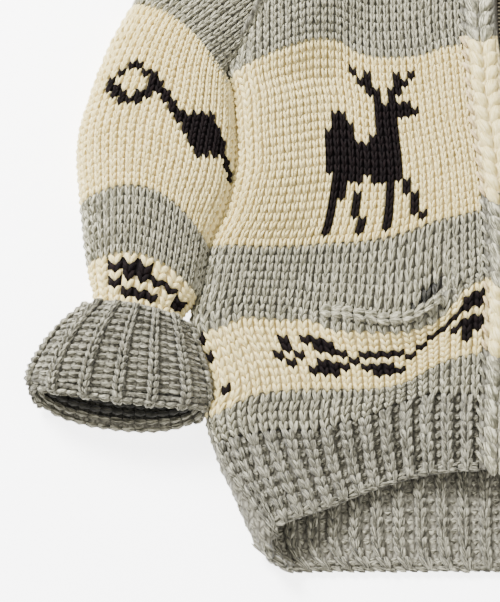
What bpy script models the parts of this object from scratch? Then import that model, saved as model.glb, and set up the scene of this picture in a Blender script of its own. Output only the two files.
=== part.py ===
"""Cowichan cardigan, lying on its back with the zip closed.

A thick hand-knit cardigan: one back, two fronts with slit pockets, ribbed hems, tube
sleeves with turned-back cuffs, a chain-stitch band up each front edge, a collar in three
parts and a zip.  Every knitted piece is a wall of cloth: an outer surface worked out from
two parameters and an inner one a cloth's thickness inside it.

Frame: +Z up, Z = 0 is the surface it lies on, +Y runs from the hem to the collar and the
wearer's right sleeve is at -X.  Sizes are in millimetres and become metres in the meshes.
Pieces are worked out with their distance from the centre line as a positive number, and
the side (-1 right, +1 left) turns it into X.
"""
import math

import bmesh
import bpy
import numpy as np
from mathutils import Matrix, Vector

MM = 0.001
GAP = 0.3               # clearance between sewn pieces
SIDE_GAP = 0.9          # the same at the side seams, which twist
CLOTH = 7.0             # thickness of the knitted cloth
RIGHT, LEFT = -1.0, 1.0


def table(names, rows):
    """Columns of a short table, by name."""
    data = np.array(rows, dtype=float)
    return {name: data[:, k] for k, name in enumerate(names.split())}


# ---------------------------------------------------------------- driving sizes
ROLL = 22.0             # how far the side turns in plan before it is level
UNDER_ROLL = 18.0       # the same below, before the cloth lies on the floor
MID = 18.0              # height of the armhole and shoulder edges
ARM_TOP = 36.0          # height of the cloth at the armhole
LAID = 14.7             # height of a front that lies on the back
SHOULDER_ROLL = 22.0    # how far the shoulder turns in plan before it is level
SHOULDER_TIP = 12.0     # how sharply the armhole's edge gives way to the shoulder's
SHOULDER_FADE = 72.0    # how far from the shoulder line a front starts to rise to it
UNDERARM_Y = 397.0
BAND_EDGE = 34.0        # from the centre line to the seam between front and band
BAND_TOP = 540.0
SHOULDER_Y = 640.0      # shoulder line at the neck
NECK_HALF = 74.0        # half width of the neck at the shoulder line
SCOOP_HALF = 40.0       # half width of the level part of the back's neck
CUFF_RIBS = 14
FRONT_RIBS = 14         # knit columns of one front's hem rib
BACK_RIBS = 15          # knit columns of half the back's hem rib
RIB_DEPTH = 2.2
RIB_POINTS = 3          # points across one rib of a cuff
TUBE_CORNER = 0.92      # how round a tube's ends are, 1 for an ellipse
FOOT_WIDE, FOOT_FLAT = 1.18, 0.6    # how wide and how flat a tube's underside is
EDGE_ROUND = 1.6        # how much thinner the cloth is at a hem's very edge
EDGE_FROM = 0.9         # share of the rib's height where it starts to thin
RIB_TOP_Y = 96.0        # top of the back's rib
SIDE_LOW, SIDE_LOW_FADE = 2.0, 8.0  # heights over which its ribs change from inside to out
BACK_NECK_Y = 634.0
NECK_FADE = 30.0        # width over which the back's upper edge leaves the floor
TIP_SHARE = 1 / 3       # share of the turned side over which the shoulder takes over
LINING = 3.0            # thickness of the pocket lining
TAPE_HALF = 21.0        # half width over both zip tapes
ZIP_HALF = 3.2          # half width of the closed teeth
ZIP_BOTTOM = 78.0
SLIDER = (9.0, 12.0, 6.4)
ARCH = (2.0, 9.0, 4.6)  # the slider's loop for the tab, and the opening in it
ARCH_OPENING = (4.0, 5.6, 2.6)
SLIDER_Y = 528.0        # pivot of the pull tab
PIVOT_Z = 24.6
TAB = (7.0, 30.0, 1.5)
TAB_EYE = (3.2, 7.4, 4.0)
EYE_EDGE = 0.75         # metal beyond the hinge, half of what is left beyond the eye
EYE_BEHIND = 0.1
ARCH_OVER, ARCH_SUNK, SLIDER_BEVEL = 1.0, 0.7, 0.8
TAPE_HEIGHTS = (-CLOTH - 1.3, -CLOTH)       # from the fronts' height beside the bands
TEETH_HEIGHTS = (-CLOTH - 2.0, -CLOTH + 1.2)

# Body: half width of the outline and height of the rolled side, along the length.
SIDE = table("y half high", [
    (0, 176, 22), (4, 188, 24), (12, 198, 26), (29, 208, 28), (53, 218, 29), (76, 229, 30),
    (96, 236, 31), (112, 240.5, 31), (122, 241, 31), (135, 236.5, 31), (148, 238, 31),
    (167, 244, 31), (179, 249.5, 32), (190, 253.5, 32), (202, 252.5, 32), (218, 249, 32),
    (235, 246, 32), (259, 240.5, 32), (276, 232, 32), (301, 225, 33), (323, 221, 33),
    (348, 222, 34), (376, 223, 35), (397, 227.2, 36)])
# Turn of the side seam above the widest line, in degrees, along the length.
SEAM = table("y turn", [
    (0, 88), (20, 84), (38, 64), (48, 55), (72, 38), (96, 26), (200, 22), (330, 18), (397, 0)])
# Height of the fronts beside the bands, along the length.
CENTRE = table("y high", [
    (60, 27), (90, 26), (134, 23), (200, 21), (400, 20.5), (500, 22), (560, 24), (640, 25)])
# How far the centre line strays sideways, as the cardigan happens to lie.
STRAY = table("y x", [
    (0, 2), (70, 2.5), (114, 3.5), (198, 10), (230, 11.5), (280, 11), (315, 8.5), (340, 6),
    (363, 3), (408, 0), (450, -3), (490, -2), (510, 0), (700, 0)])
STRAY_FULL, STRAY_NONE = 45.0, 150.0
# Lines across a front from the side seam (0) to the band (1): lower hem, top of the rib
# and pocket slit.
ACROSS = table("part hem rib slit", [
    (0.00, 22, 96, 196), (0.17, 33, 102, 198), (0.28, 40, 107, 200), (0.39, 47, 107, 201.5),
    (0.52, 57, 114, 203), (0.60, 62, 118, 200), (0.68, 67, 126, 196.5), (0.76, 71, 132, 198.5),
    (0.83, 73, 136, 209), (0.90, 74, 135, 226), (1.00, 74, 134, 234)])
CHEST_RISE = 8.0        # how much higher the underarm line is at the band
TURN_PART = 0.12        # share of a front's width that its turned side takes
BAND_FADE = 62.0        # over how much width a front's height leaves the band's
SIDE_FADE = 72.0        # the same from the turned side
TIP_RISE = 50.0         # length over which a front rises to the shoulder
# Sleeve: each row joins a point of the outer edge to one of the inner edge.  base and
# high are its underside and height, bow how far the line between them bends.
SLEEVE = table("ox oy ix iy base high bow", [
    (331, 187, 266, 174, 8.0, 35, 0), (328, 208, 264, 195, 7.0, 37, 2),
    (334, 238, 253, 213, 1.5, 46, 16), (340, 289, 245, 254, 0, 50, 24),
    (343.5, 334, 229, 296, 0, 50, 22), (332, 385, 224.5, 338, 0, 50, 20),
    (318, 424, 225.5, 368, 0, 49, 16), (301, 458, 227.3, 385, 0, 47, 12),
    (272, 510, 229.0, 390.5, 0, 44, 6), (228, 566, 229.5, 394, 0, 40, 12),
    (173, 604, 227.2, UNDERARM_Y, 0, ARM_TOP, 18)])
SLEEVE_SIDES = 20
# Cuff: rings from the free edge down to the fold and back up inside to the free edge.
# Each row gives its two side points, its underside and top, how far the top and the
# underside lean out along the sleeve, and how strong the ribs are.
CUFF = table("lx ly rx ry base top lean_top lean_under rib", [
    (333, 206, 258.5, 191.5, 1.6, 48, 3, 0, 0.3), (345, 197, 253.8, 180.5, 0, 51, 2, 0, 1),
    (362, 180, 247.5, 163, 0, 51, 0, -4, 1), (375, 160, 242.0, 144, 0, 49, -2, -8, 1),
    (380, 147, 240.3, 131, 0, 47, -4, -14, 1), (375, 140, 245.0, 123, 4, 41, -8, -22, 0.5),
    (368, 147, 251.5, 131, 10, 36, -3, -15, 0), (350, 163, 258.0, 148, 12, 35, 0, -5, 0),
    (324.6, 185, 272.6, 174.6, 15, 36, 0, 0, 0), (332, 186.5, 265.3, 173.2, 7.5, 43.5, 0, 0, 0),
    (329.2, 203.5, 262.6, 190, 6.6, 44.4, 2, 0, 0)])
LEAN_OUT = 0.2          # how much of a cuff's lean goes sideways
RIB_LOW, RIB_LOW_FADE = 0.55, 0.3   # where the cuff's ribs end below, as sines
UNDER_DIP = 0.2
# Collar: the neck edge, the way the collar spreads from it, its width, and the heights of
# its sewn edge, its fold and its outer edge.
COLLAR = table("a nx ny turn wide start crown edge", [
    (0.000, 9, 542.5, 222, 26, 16.0, 39, 38), (0.136, 34, 542.5, 208, 56, 16.2, 38, 36),
    (0.323, 52, 572, 194, 80, 17.0, 37, 33), (0.499, 64, 602, 182, 88, 17.0, 44, 33),
    (0.586, 67, 618, 172, 88, 15.0, 46, 30), (0.656, 62, 630, 148, 84, 13.0, 45, 14),
    (0.739, 48, 636, 118, 78, 10.5, 41, 9), (0.864, 25, 637, 98, 72, 8.0, 36, 8),
    (1.000, 0, 637, 90, 70, 7.5, 33, 8)])
COLLAR_SEAM = 0.64      # where the lapel part ends and the back part starts
SEAM_HALF = 0.0009      # half of the gap there, as a share of the way round
FOLD = 9.5              # radius of the collar's fold
SEAT = 1.2              # from a front's edge to the collar's sewn edge beside it
BRIDGE = 14.0           # how far past the shoulder line the collar starts to fall
ARMHOLE_SLOPE = 0.08    # how the armhole leans out below its tip, near the collar
FOLD_FROM, FOLD_TO = 0.3, 0.6       # where the collar turns over, as shares of its rise
SPREAD_FADE = 0.4       # share of its spread over which it settles on the fronts
COLLAR_OFF = 2.0        # clearance of the collar from what it lies on
COLLAR_BLEND = 3.0      # softness of the change from its own height to that one
BAND_RAISED = 4.6       # height of the band's chain above the fronts
# Across the band, from its seam to its free edge: distance from the centre line and share
# of that height.
BAND_PROFILE = table("x raised", [
    (BAND_EDGE - GAP, 0), (31, 0.7), (27.5, 1), (24, 0.7), (21.6, 0.2), (18.5, 0.7),
    (14.5, 0.96), (11, 0.65), (8.4, 0.1), (5.2, -0.12)])
POCKET = dict(x=105.0, y=158.0, flat=50.0, fade=82.0, rise=4.6)
LIP_LIFT = 8.0          # how far the pocket's lip stands up
LIP_OPEN = 9.0          # how far the slit gapes at its inner end
LIP_FADE = 30.0
LIP_SHIFT = 0.01        # what counts as below the slit
SWELL_OUT, SWELL_IN = 0.35, 0.14    # shares of the slit over which the lip rises
SLIT_FROM, SLIT_TO = 148.0, 61.0
LINING_DEPTH, LINING_ABOVE = 46.0, 5.0
LINING_SIDE = 3.0
LINING_CLEAR = 0.9      # clearance from the front's inner face

COLOURS = {
    "cream": (0.80, 0.74, 0.58), "grey": (0.42, 0.40, 0.34), "tape": (0.40, 0.38, 0.33),
    "metal": (0.55, 0.50, 0.40)}


# ---------------------------------------------------------------- small maths
def smooth(at, xs, ys):
    """Curve through (xs, ys) with no overshoot, level past both ends."""
    at = np.clip(at, xs[0], xs[-1])
    step = np.diff(xs)
    slope = np.diff(ys) / step
    tangent = np.zeros_like(ys)
    tangent[0], tangent[-1] = slope[0], slope[-1]
    same = slope[:-1] * slope[1:] > 0
    total = np.where(same, slope[:-1] + slope[1:], 1.0)
    tangent[1:-1] = np.where(same, 2 * slope[:-1] * slope[1:] / total, 0.0)
    k = np.clip(np.searchsorted(xs, at, side="right") - 1, 0, len(step) - 1)
    s = (at - xs[k]) / step[k]
    rise = ys[k] * (1 + 2 * s) * (1 - s) ** 2 + ys[k + 1] * s * s * (3 - 2 * s)
    return rise + step[k] * s * (1 - s) * (tangent[k] * (1 - s) - tangent[k + 1] * s)


def read(columns, key, name, at):
    """Value of one column where another has the value `at`."""
    return smooth(np.asarray(at, dtype=float), columns[key], columns[name])


def ease(s):
    """Smooth step from 0 to 1."""
    s = np.clip(s, 0.0, 1.0)
    return s * s * (3.0 - 2.0 * s)


def arc(s):
    """Quarter circle: 0 at its foot, 1 and level from s = 1 on."""
    return np.sqrt(np.clip(1.0 - (1.0 - np.clip(s, 0.0, 1.0)) ** 2, 0.0, 1.0))


def lie(points):
    """Points as the cardigan lies: the middle strays sideways, the sides don't."""
    out = np.array(points, dtype=float)
    fade = 1.0 - ease((np.abs(out[..., 0]) - STRAY_FULL) / (STRAY_NONE - STRAY_FULL))
    out[..., 0] += read(STRAY, "y", "x", out[..., 1]) * fade
    return out


# ---------------------------------------------------------------- meshes
def material(name):
    """A plain material with the piece's colour."""
    found = bpy.data.materials.get(name)
    if found:
        return found
    made = bpy.data.materials.new(name)
    made.use_nodes = True
    shader = made.node_tree.nodes["Principled BSDF"]
    shader.inputs["Base Color"].default_value = (*COLOURS[name], 1.0)
    shader.inputs["Roughness"].default_value = 0.35 if name == "metal" else 0.95
    shader.inputs["Metallic"].default_value = 1.0 if name == "metal" else 0.0
    return made


def new_object(name, points, faces, colour, smooth_shade=True):
    """A closed mesh object from points in millimetres, its faces turned outwards."""
    mesh = bpy.data.meshes.new(name)
    mesh.from_pydata((np.asarray(points) * MM).tolist(), [], faces)
    body = bmesh.new()
    body.from_mesh(mesh)
    bmesh.ops.recalc_face_normals(body, faces=body.faces)
    body.to_mesh(mesh)
    body.free()
    if smooth_shade:
        mesh.shade_smooth()
        mesh.set_sharp_from_angle(angle=math.radians(50))
    mesh.materials.append(material(colour))
    made = bpy.data.objects.new(name, mesh)
    parts.objects.link(made)
    return made


def grid_faces(rows, columns, closed=False):
    """Quads of a grid of rows x columns points, its rows joined end to start if closed."""
    wide = columns if closed else columns - 1
    return [(i * columns + j, i * columns + (j + 1) % columns,
             (i + 1) * columns + (j + 1) % columns, (i + 1) * columns + j)
            for i in range(rows - 1) for j in range(wide)]


def wall(name, outer, inner, faces, colour):
    """A wall of cloth: two skins over the same faces, joined along every open edge."""
    outer, inner = outer.reshape(-1, 3), inner.reshape(-1, 3)
    count = len(outer)
    sides = {}
    for face in faces:
        for a, b in zip(face, face[1:] + face[:1]):
            sides.setdefault(frozenset((a, b)), []).append((a, b))
    rim = [(b, a, a + count, b + count) for (a, b), *more in sides.values() if not more]
    back = [tuple(k + count for k in reversed(face)) for face in faces]
    return new_object(name, np.vstack([outer, inner]), list(faces) + back + rim, colour)


def offset(surface, u, v, depth, step=1e-3):
    """The surface and a copy of it `depth` inside, along its own normal."""
    here = surface(u, v)
    along_u = surface(u + step, v) - surface(u - step, v)
    along_v = surface(u, v + step) - surface(u, v - step)
    normal = np.cross(along_u, along_v)
    normal /= np.linalg.norm(normal, axis=-1, keepdims=True)
    return here, here + normal * depth


# ---------------------------------------------------------------- sleeve and armhole
def tube_reach(turn):
    """Share of a tube's width at a turn, from -1 to 1: a cosine with fuller ends."""
    return np.sign(np.cos(turn)) * np.abs(np.cos(turn)) ** TUBE_CORNER


def tube_lift(turn):
    """Share of a tube's half height at a turn: a sine with a flat underside."""
    sin = np.sin(turn)
    return np.where(sin >= 0, sin, -np.minimum(FOOT_WIDE * np.abs(sin) ** FOOT_FLAT, 1.0))


def sleeve_section(row, turn, inset=0.0):
    """Points of one sleeve row, given as its column values: an ellipse with a flat foot.

    turn 0 is the outer edge, 90 degrees the top, 180 the inner edge, 270 the underside.
    """
    ox, oy, ix, iy, base, high, bow = (np.asarray(row[k]) for k in
                                       ("ox", "oy", "ix", "iy", "base", "high", "bow"))
    chord_x, chord_y = ox - ix, oy - iy
    chord = np.hypot(chord_x, chord_y)
    reach = tube_reach(turn) * (0.5 - inset / chord) + 0.5
    bend = bow * 4 * reach * (1 - reach)
    x = ix + chord_x * reach + bend * -chord_y / chord
    y = iy + chord_y * reach + bend * chord_x / chord
    half = high / 2 - inset
    return np.stack([x, y, base + high / 2 + half * tube_lift(turn)], axis=-1)


ARMHOLE = {k: SLEEVE[k][-1] for k in SLEEVE}
ARMHOLE_WAY = np.array([ARMHOLE["oy"] - ARMHOLE["iy"], ARMHOLE["ix"] - ARMHOLE["ox"], 0.0])
ARMHOLE_WAY = -ARMHOLE_WAY / np.linalg.norm(ARMHOLE_WAY)    # from the sleeve to the body


def sleeve(side):
    """Hollow tube from inside the cuff to the armhole."""
    turns = np.arange(SLEEVE_SIDES) * 2 * math.pi / SLEEVE_SIDES
    rows = len(SLEEVE["ox"])
    grids = []
    for inset in (0.0, CLOTH):
        row = {k: SLEEVE[k][:, None] for k in SLEEVE}
        points = sleeve_section(row, turns[None, :], inset)
        points[-1] -= ARMHOLE_WAY * GAP
        points[..., 0] *= side
        grids.append(lie(points))
    name = "sleeve_right" if side < 0 else "sleeve_left"
    wall(name, *grids, grid_faces(rows, SLEEVE_SIDES, closed=True), "cream")


def cuff_surface(ring, turn):
    """Points of the cuff's rings, given as their column values, without ribs."""
    reach, sin = tube_reach(turn), np.sin(turn)
    lean = ring["lean_top"] * np.maximum(sin, 0) + ring["lean_under"] * np.maximum(-sin, 0)
    x = (ring["lx"] + ring["rx"] + (ring["lx"] - ring["rx"]) * reach) / 2
    y = (ring["ly"] + ring["ry"] + (ring["ly"] - ring["ry"]) * reach) / 2
    z = ring["base"] + (ring["top"] - ring["base"]) / 2 * (1 + tube_lift(turn))
    return np.stack([x - LEAN_OUT * lean, y + lean, z], axis=-1)


def even_turns(ring, count):
    """Turns that cut a ring of the cuff into `count` equal lengths."""
    turn = np.linspace(0, 2 * math.pi, 720)
    step = np.linalg.norm(np.diff(cuff_surface(ring, turn), axis=0), axis=-1)
    length = np.concatenate([[0.0], np.cumsum(step)])
    return np.interp(np.arange(count) * length[-1] / count, length, turn)


def cuff(side):
    """One thick ring: the turned-back rib, folded at the mouth, with the sleeve's end inside."""
    columns = RIB_POINTS * CUFF_RIBS
    turn = even_turns({k: CUFF[k][2] for k in CUFF}, columns)[None, :]
    ring = {k: CUFF[k][:, None] for k in CUFF}
    points = cuff_surface(ring, turn)
    cos, sin = np.cos(turn), np.sin(turn)
    groove = 0.5 + 0.5 * np.cos(2 * math.pi * np.arange(columns) / RIB_POINTS)[None, :]
    groove = RIB_DEPTH * ring["rib"] * groove * ease((sin + RIB_LOW) / RIB_LOW_FADE)
    points[..., 0] -= groove * cos
    points[..., 2] -= groove * np.maximum(sin, -UNDER_DIP)
    points = lie(points * (side, 1, 1)).reshape(-1, 3)
    rings = len(CUFF["lx"])
    faces = grid_faces(rings, columns, closed=True)
    last = (rings - 1) * columns
    faces += [(last + j, last + (j + 1) % columns, (j + 1) % columns, j)
              for j in range(columns)]
    new_object("cuff_right" if side < 0 else "cuff_left", points, faces, "grey")


# ---------------------------------------------------------------- body
def shoulder_line(half):
    """Y of the shoulder line at a distance from the centre line."""
    slope = (SHOULDER_Y - ARMHOLE["oy"]) / (ARMHOLE["ox"] - NECK_HALF)
    return SHOULDER_Y - slope * (half - NECK_HALF)


def level_height(half, y, from_side):
    """Height of a front away from its edges, from_side past the end of the side's turn."""
    side_high = read(SIDE, "y", "high", y)
    centre = read(CENTRE, "y", "high", y)
    plain = LAID + (centre - LAID) * (1 - ease((half - BAND_EDGE + 6) / BAND_FADE))
    high = plain + (side_high - plain) * (1 - ease(from_side / SIDE_FADE))
    to_line = shoulder_line(half) - y
    high = high + (ARM_TOP - high) * ease((SHOULDER_FADE - to_line) / TIP_RISE)
    off_x = (np.abs(half - POCKET["x"]) - POCKET["flat"]) / (POCKET["fade"] - POCKET["flat"])
    off_y = (np.abs(y - POCKET["y"]) - POCKET["flat"]) / (POCKET["fade"] - POCKET["flat"])
    return high + POCKET["rise"] * (1 - ease(off_x)) * (1 - ease(off_y))


HALF_TURNS = np.linspace(math.pi, 0.0, SLEEVE_SIDES // 2 + 1)
ARM_STEPS = (1 + np.cos(HALF_TURNS)) / 2


def armhole_at(step, below):
    """Armhole point at a step of 0 (underarm) to 1 (shoulder), on the top or underside."""
    turn = np.arccos(np.clip(2 * step - 1, -1, 1))
    return sleeve_section(ARMHOLE, 2 * math.pi - turn if below else turn)


def neckline(y):
    """A front's edge beside the band and then along the collar, out from the centre."""
    a = np.linspace(COLLAR["a"][1], COLLAR["a"][4], 46)
    path_y = np.append(read(COLLAR, "a", "ny", a), SHOULDER_Y)
    path_x = np.append(read(COLLAR, "a", "nx", a) + GAP, NECK_HALF)
    return np.interp(y, path_y, path_x)


def front_lines(part, r):
    """Y of a front below the underarm line, r as in front_surface."""
    hem, slit = (read(ACROSS, "part", k, part) for k in ("hem", "slit"))
    rib = np.interp(part, FRONT_PARTS, read(ACROSS, "part", "rib", FRONT_PARTS))
    chest = UNDERARM_Y + CHEST_RISE * part
    lower = np.where(r < 0, rib + (rib - hem) * r, rib + (slit - rib) * r)
    return np.where(r < 1, lower, slit + (chest - slit) * (r - 1))


def front_surface(c, r):
    """Outer face of a front and its rib.

    c: 0 to 1 is the turn of the side from the seam up to level, 1 to 2 from there to the
    band or neckline.  r: -1 to 0 from the hem to the top of the rib, 0 to 1 from there to
    the slit, 1 to 2 on to the underarm line, 2 to 3 on to the shoulder.
    """
    c, r = np.broadcast_arrays(c, r)
    part = np.where(c < 1, TURN_PART * np.clip(c, 0, 1),
                    TURN_PART + (1 - TURN_PART) * (c - 1))
    rise = np.clip(r - 2, 0, 1)
    arm = armhole_at(rise, below=False)
    band_y = UNDERARM_Y + CHEST_RISE + (SHOULDER_Y - UNDERARM_Y - CHEST_RISE) * rise
    across = arm[..., 0] - NECK_HALF
    share = np.where(c < 1, ROLL * (1 - np.cos(np.clip(c, 0, 1) * math.pi / 2)),
                     ROLL + (c - 1) * (across - ROLL)) / across
    above = arm[..., 1] + (band_y - arm[..., 1]) * (part + (share - part) * rise)
    y = np.where(r < 2, front_lines(part, r), above)
    edge = np.where(r < 2, read(SIDE, "y", "half", y), arm[..., 0])
    seam = np.radians(read(SEAM, "y", "turn", y)) * (r < 2)
    turn = seam + (math.pi / 2 - seam) * np.clip(c, -0.01, 1)
    level = edge - ROLL
    right = np.where(y < BAND_TOP, BAND_EDGE, neckline(y))
    x = np.where(c < 1, edge - ROLL * (1 - np.cos(turn)), level + (right - level) * (c - 1))
    high = level_height(x, y, level - x)
    side_high = read(SIDE, "y", "high", y)
    foot = np.where(r < 2, side_high / 2, arm[..., 2])
    full = np.where(r < 2, side_high, high)
    z = np.where(c < 1, foot + (full - foot) * np.sin(turn), high)
    down = arc((shoulder_line(x) - y) / SHOULDER_ROLL)
    blend = (r > 2) * (1 - (1 - ease(c)) * (1 - rise ** SHOULDER_TIP))
    z = z * (1 - blend) + (MID + (z - MID) * down) * blend
    return np.stack([x, y, z + GAP], axis=-1)


def band_rows():
    """Y of a front's and its rib's rows beside the band."""
    r = np.concatenate([RIB_ROWS[::-1], FRONT_ROWS[1:]])
    y = front_surface(2.0, r)[..., 1]
    return np.append(y[y < BAND_TOP - 8], BAND_TOP - GAP)


RIB_ROWS = np.array([-0.008, -0.25, -0.5, -0.73, -0.93, -1.0])
FRONT_ROWS = np.concatenate([np.linspace(0, 1, 6), 1 + np.linspace(0, 1, 8)[1:],
                             2 + ARM_STEPS[1:]])
SLIT_ROW, CHEST_ROW = 5, 12
FRONT_COLUMNS = np.concatenate([[0.0, 0.34, 0.67], 1.0 + np.linspace(0, 1, 14)])
FRONT_PARTS = np.where(FRONT_COLUMNS < 1, TURN_PART * FRONT_COLUMNS,
                       TURN_PART + (1 - TURN_PART) * (FRONT_COLUMNS - 1))
SIDE_ROWS = front_lines(0.0, FRONT_ROWS[:CHEST_ROW + 1])    # Y of the rows at the side seam


def front(side):
    """One front panel with its slit and the standing lip below it."""
    c, r = FRONT_COLUMNS, FRONT_ROWS
    grid_c, grid_r = np.meshgrid(c, r)
    outer, inner = offset(front_surface, grid_c, grid_r, CLOTH)
    for skin, inset in ((outer, 0.0), (inner, CLOTH)):
        seam = sleeve_section(ARMHOLE, HALF_TURNS, inset)
        skin[CHEST_ROW:, 0] = seam + ARMHOLE_WAY * GAP + (0, 0, GAP)
    inner[:, -1, 0] = outer[:, -1, 0]
    inner[0, :, 1] = outer[0, :, 1]
    inner[0, c >= 1, 0] = outer[0, c >= 1, 0]
    inner[-1, :, 2] = outer[-1, :, 2]
    columns = len(c)
    faces = grid_faces(len(r), columns)
    slit_x = outer[SLIT_ROW, :, 0]
    in_slit = np.flatnonzero((slit_x < SLIT_FROM) & (slit_x > SLIT_TO))
    # The lip: rows below the slit stand up, most at the slit itself.
    share = (SLIT_FROM - outer[..., 0]) / (SLIT_FROM - SLIT_TO)
    swell = ease(share / SWELL_OUT) * ease((1 - share) / SWELL_IN)
    below = outer[SLIT_ROW, :, 1][None, :] - outer[..., 1]
    lift = LIP_LIFT * swell * (1 - ease(below / LIP_FADE)) * (below > LIP_SHIFT)
    skins = []
    for skin in (outer, inner):
        lip = skin[SLIT_ROW, in_slit].copy()
        here = swell[SLIT_ROW, in_slit]
        lip[:, 2] += LIP_LIFT * here
        gape = here * share[SLIT_ROW, in_slit]
        lip[:, 0] += LIP_OPEN * gape
        lip[:, 1] -= GAP + LIP_OPEN * gape
        skin[..., 2] += lift
        skin[..., 0] *= side
        lip[:, 0] *= side
        skins.append(lie(np.vstack([skin.reshape(-1, 3), lip])))
    twin = {SLIT_ROW * columns + k: len(r) * columns + n for n, k in enumerate(in_slit)}
    row_below = range((SLIT_ROW - 1) * (columns - 1), SLIT_ROW * (columns - 1))
    for k in row_below:
        faces[k] = tuple(twin.get(p, p) for p in faces[k])
    wall("front_right" if side < 0 else "front_left", *skins, faces, "cream")


def pocket_lining(side):
    """Plain cloth behind the slit, just under the front."""
    across = np.linspace(SLIT_FROM + LINING_SIDE, SLIT_TO - LINING_SIDE, 8)
    x, share = np.meshgrid(across, np.linspace(0, 1, 6))
    level = read(SIDE, "y", "half", POCKET["y"]) - ROLL
    part = TURN_PART + (1 - TURN_PART) * (level - x) / (level - BAND_EDGE)
    start = POCKET["y"] - LINING_DEPTH
    y = start + (read(ACROSS, "part", "slit", part) + LINING_ABOVE - start) * share
    z = level_height(x, y, read(SIDE, "y", "half", y) - ROLL - x) - CLOTH - LINING_CLEAR
    outer = lie(np.stack([x * side, y, z], axis=-1))
    faces = grid_faces(*x.shape)
    name = "pocket_lining_right" if side < 0 else "pocket_lining_left"
    wall(name, outer, outer - (0, 0, LINING), faces, "grey")


def front_hem_rib(side):
    """Ribbed lower edge of a front, its ribs raised on the outer face."""
    part = np.linspace(0, 1, 2 * FRONT_RIBS + 1)
    c = np.where(part < TURN_PART, part / TURN_PART, 1 + (part - TURN_PART) / (1 - TURN_PART))
    grid_c, grid_r = np.meshgrid(c, RIB_ROWS)
    outer, inner = offset(front_surface, grid_c, grid_r, CLOTH)
    inner[:, -1, 0] = outer[:, -1, 0]
    inner[0, :, 1] = outer[0, :, 1]
    inner[0, c >= 1, 0] = outer[0, c >= 1, 0]
    away = (outer - inner) / CLOTH
    groove = RIB_DEPTH * (0.5 + 0.5 * np.cos(2 * math.pi * FRONT_RIBS * part))[None, :]
    groove = groove + EDGE_ROUND * ease((-grid_r - EDGE_FROM) / (1 - EDGE_FROM))
    outer = outer - away * groove[..., None]
    for skin in (outer, inner):
        skin[..., 0] *= side
    name = "front_hem_rib_right" if side < 0 else "front_hem_rib_left"
    wall(name, lie(outer), lie(inner), grid_faces(len(RIB_ROWS), len(c)), "grey")


def back_section(run, y):
    """Outer face of the back across the body: how far out it is, and how high.

    run is measured inwards from where the turned side meets the floor.  A negative run
    climbs the side, round to its widest line and on up towards the seam.
    """
    edge = read(SIDE, "y", "half", y)
    half_high = read(SIDE, "y", "high", y) / 2
    under = np.clip(-run / UNDER_ROLL, 0, math.pi / 2)
    over = np.maximum(-run - UNDER_ROLL * math.pi / 2, 0) / ROLL
    x = edge - UNDER_ROLL * (1 - np.sin(under)) - ROLL * (1 - np.cos(over))
    z = half_high * (1 - np.cos(under) + np.sin(over))
    return x - np.maximum(run, 0), z


def climb_to_seam(y):
    """Length of the turned side of the back, from the floor to the side seam."""
    seam = np.radians(read(SEAM, "y", "turn", y)) - SIDE_GAP / ROLL
    return UNDER_ROLL * math.pi / 2 + ROLL * np.maximum(seam, -SIDE_GAP / ROLL)


def back_top(half):
    """Y of the back's upper edge: the shoulder line, scooped a little at the neck."""
    beyond = ease((half - SCOOP_HALF) / (NECK_HALF - SCOOP_HALF))
    scoop = BACK_NECK_Y + (SHOULDER_Y - BACK_NECK_Y) * beyond
    return np.where(half < NECK_HALF, scoop, shoulder_line(half))


def back_surface(c, r):
    """Outer face of the back, right half.

    c: -1 at the side seam, 0 where the turn meets the floor, 1 at the centre line.
    r: 0 to 1 from the rib to the underarm line, 1 to 2 from there to the shoulder.
    """
    c, r = np.broadcast_arrays(c, r)
    rise = np.clip(r - 1, 0, 1)
    arm = armhole_at(rise, below=True)
    near, part = np.clip(-c, 0, 1), np.clip(c, 0, 1)
    spread = UNDER_ROLL * (1 - near)
    tip = np.where(c < 0, ARMHOLE["ox"] - spread, (ARMHOLE["ox"] - UNDER_ROLL) * (1 - part))
    low = RIB_TOP_Y + (UNDERARM_Y - RIB_TOP_Y) * r
    y = np.where(r < 1, low, arm[..., 1] + (back_top(tip) - ARMHOLE["oy"]) * rise)
    edge = read(SIDE, "y", "half", y)
    run = np.where(c < 0, c * climb_to_seam(y), c * (edge - UNDER_ROLL))
    x_side, z_side = back_section(run, y)
    x_arm = np.where(c < 0, arm[..., 0] - spread, (arm[..., 0] - UNDER_ROLL) * (1 - part))
    turned = (MID - GAP) * (1 - arc((back_top(x_arm) - y) / SHOULDER_ROLL))
    turned = turned * ease((x_arm - SCOOP_HALF) / NECK_FADE)
    z_arm = np.maximum(arm[..., 2] * near ** 2, turned * ease((1 - near) / TIP_SHARE))
    z = np.where(r < 1, z_side, z_arm)
    return np.stack([np.where(r < 1, x_side, x_arm), y, z], axis=-1)


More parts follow.
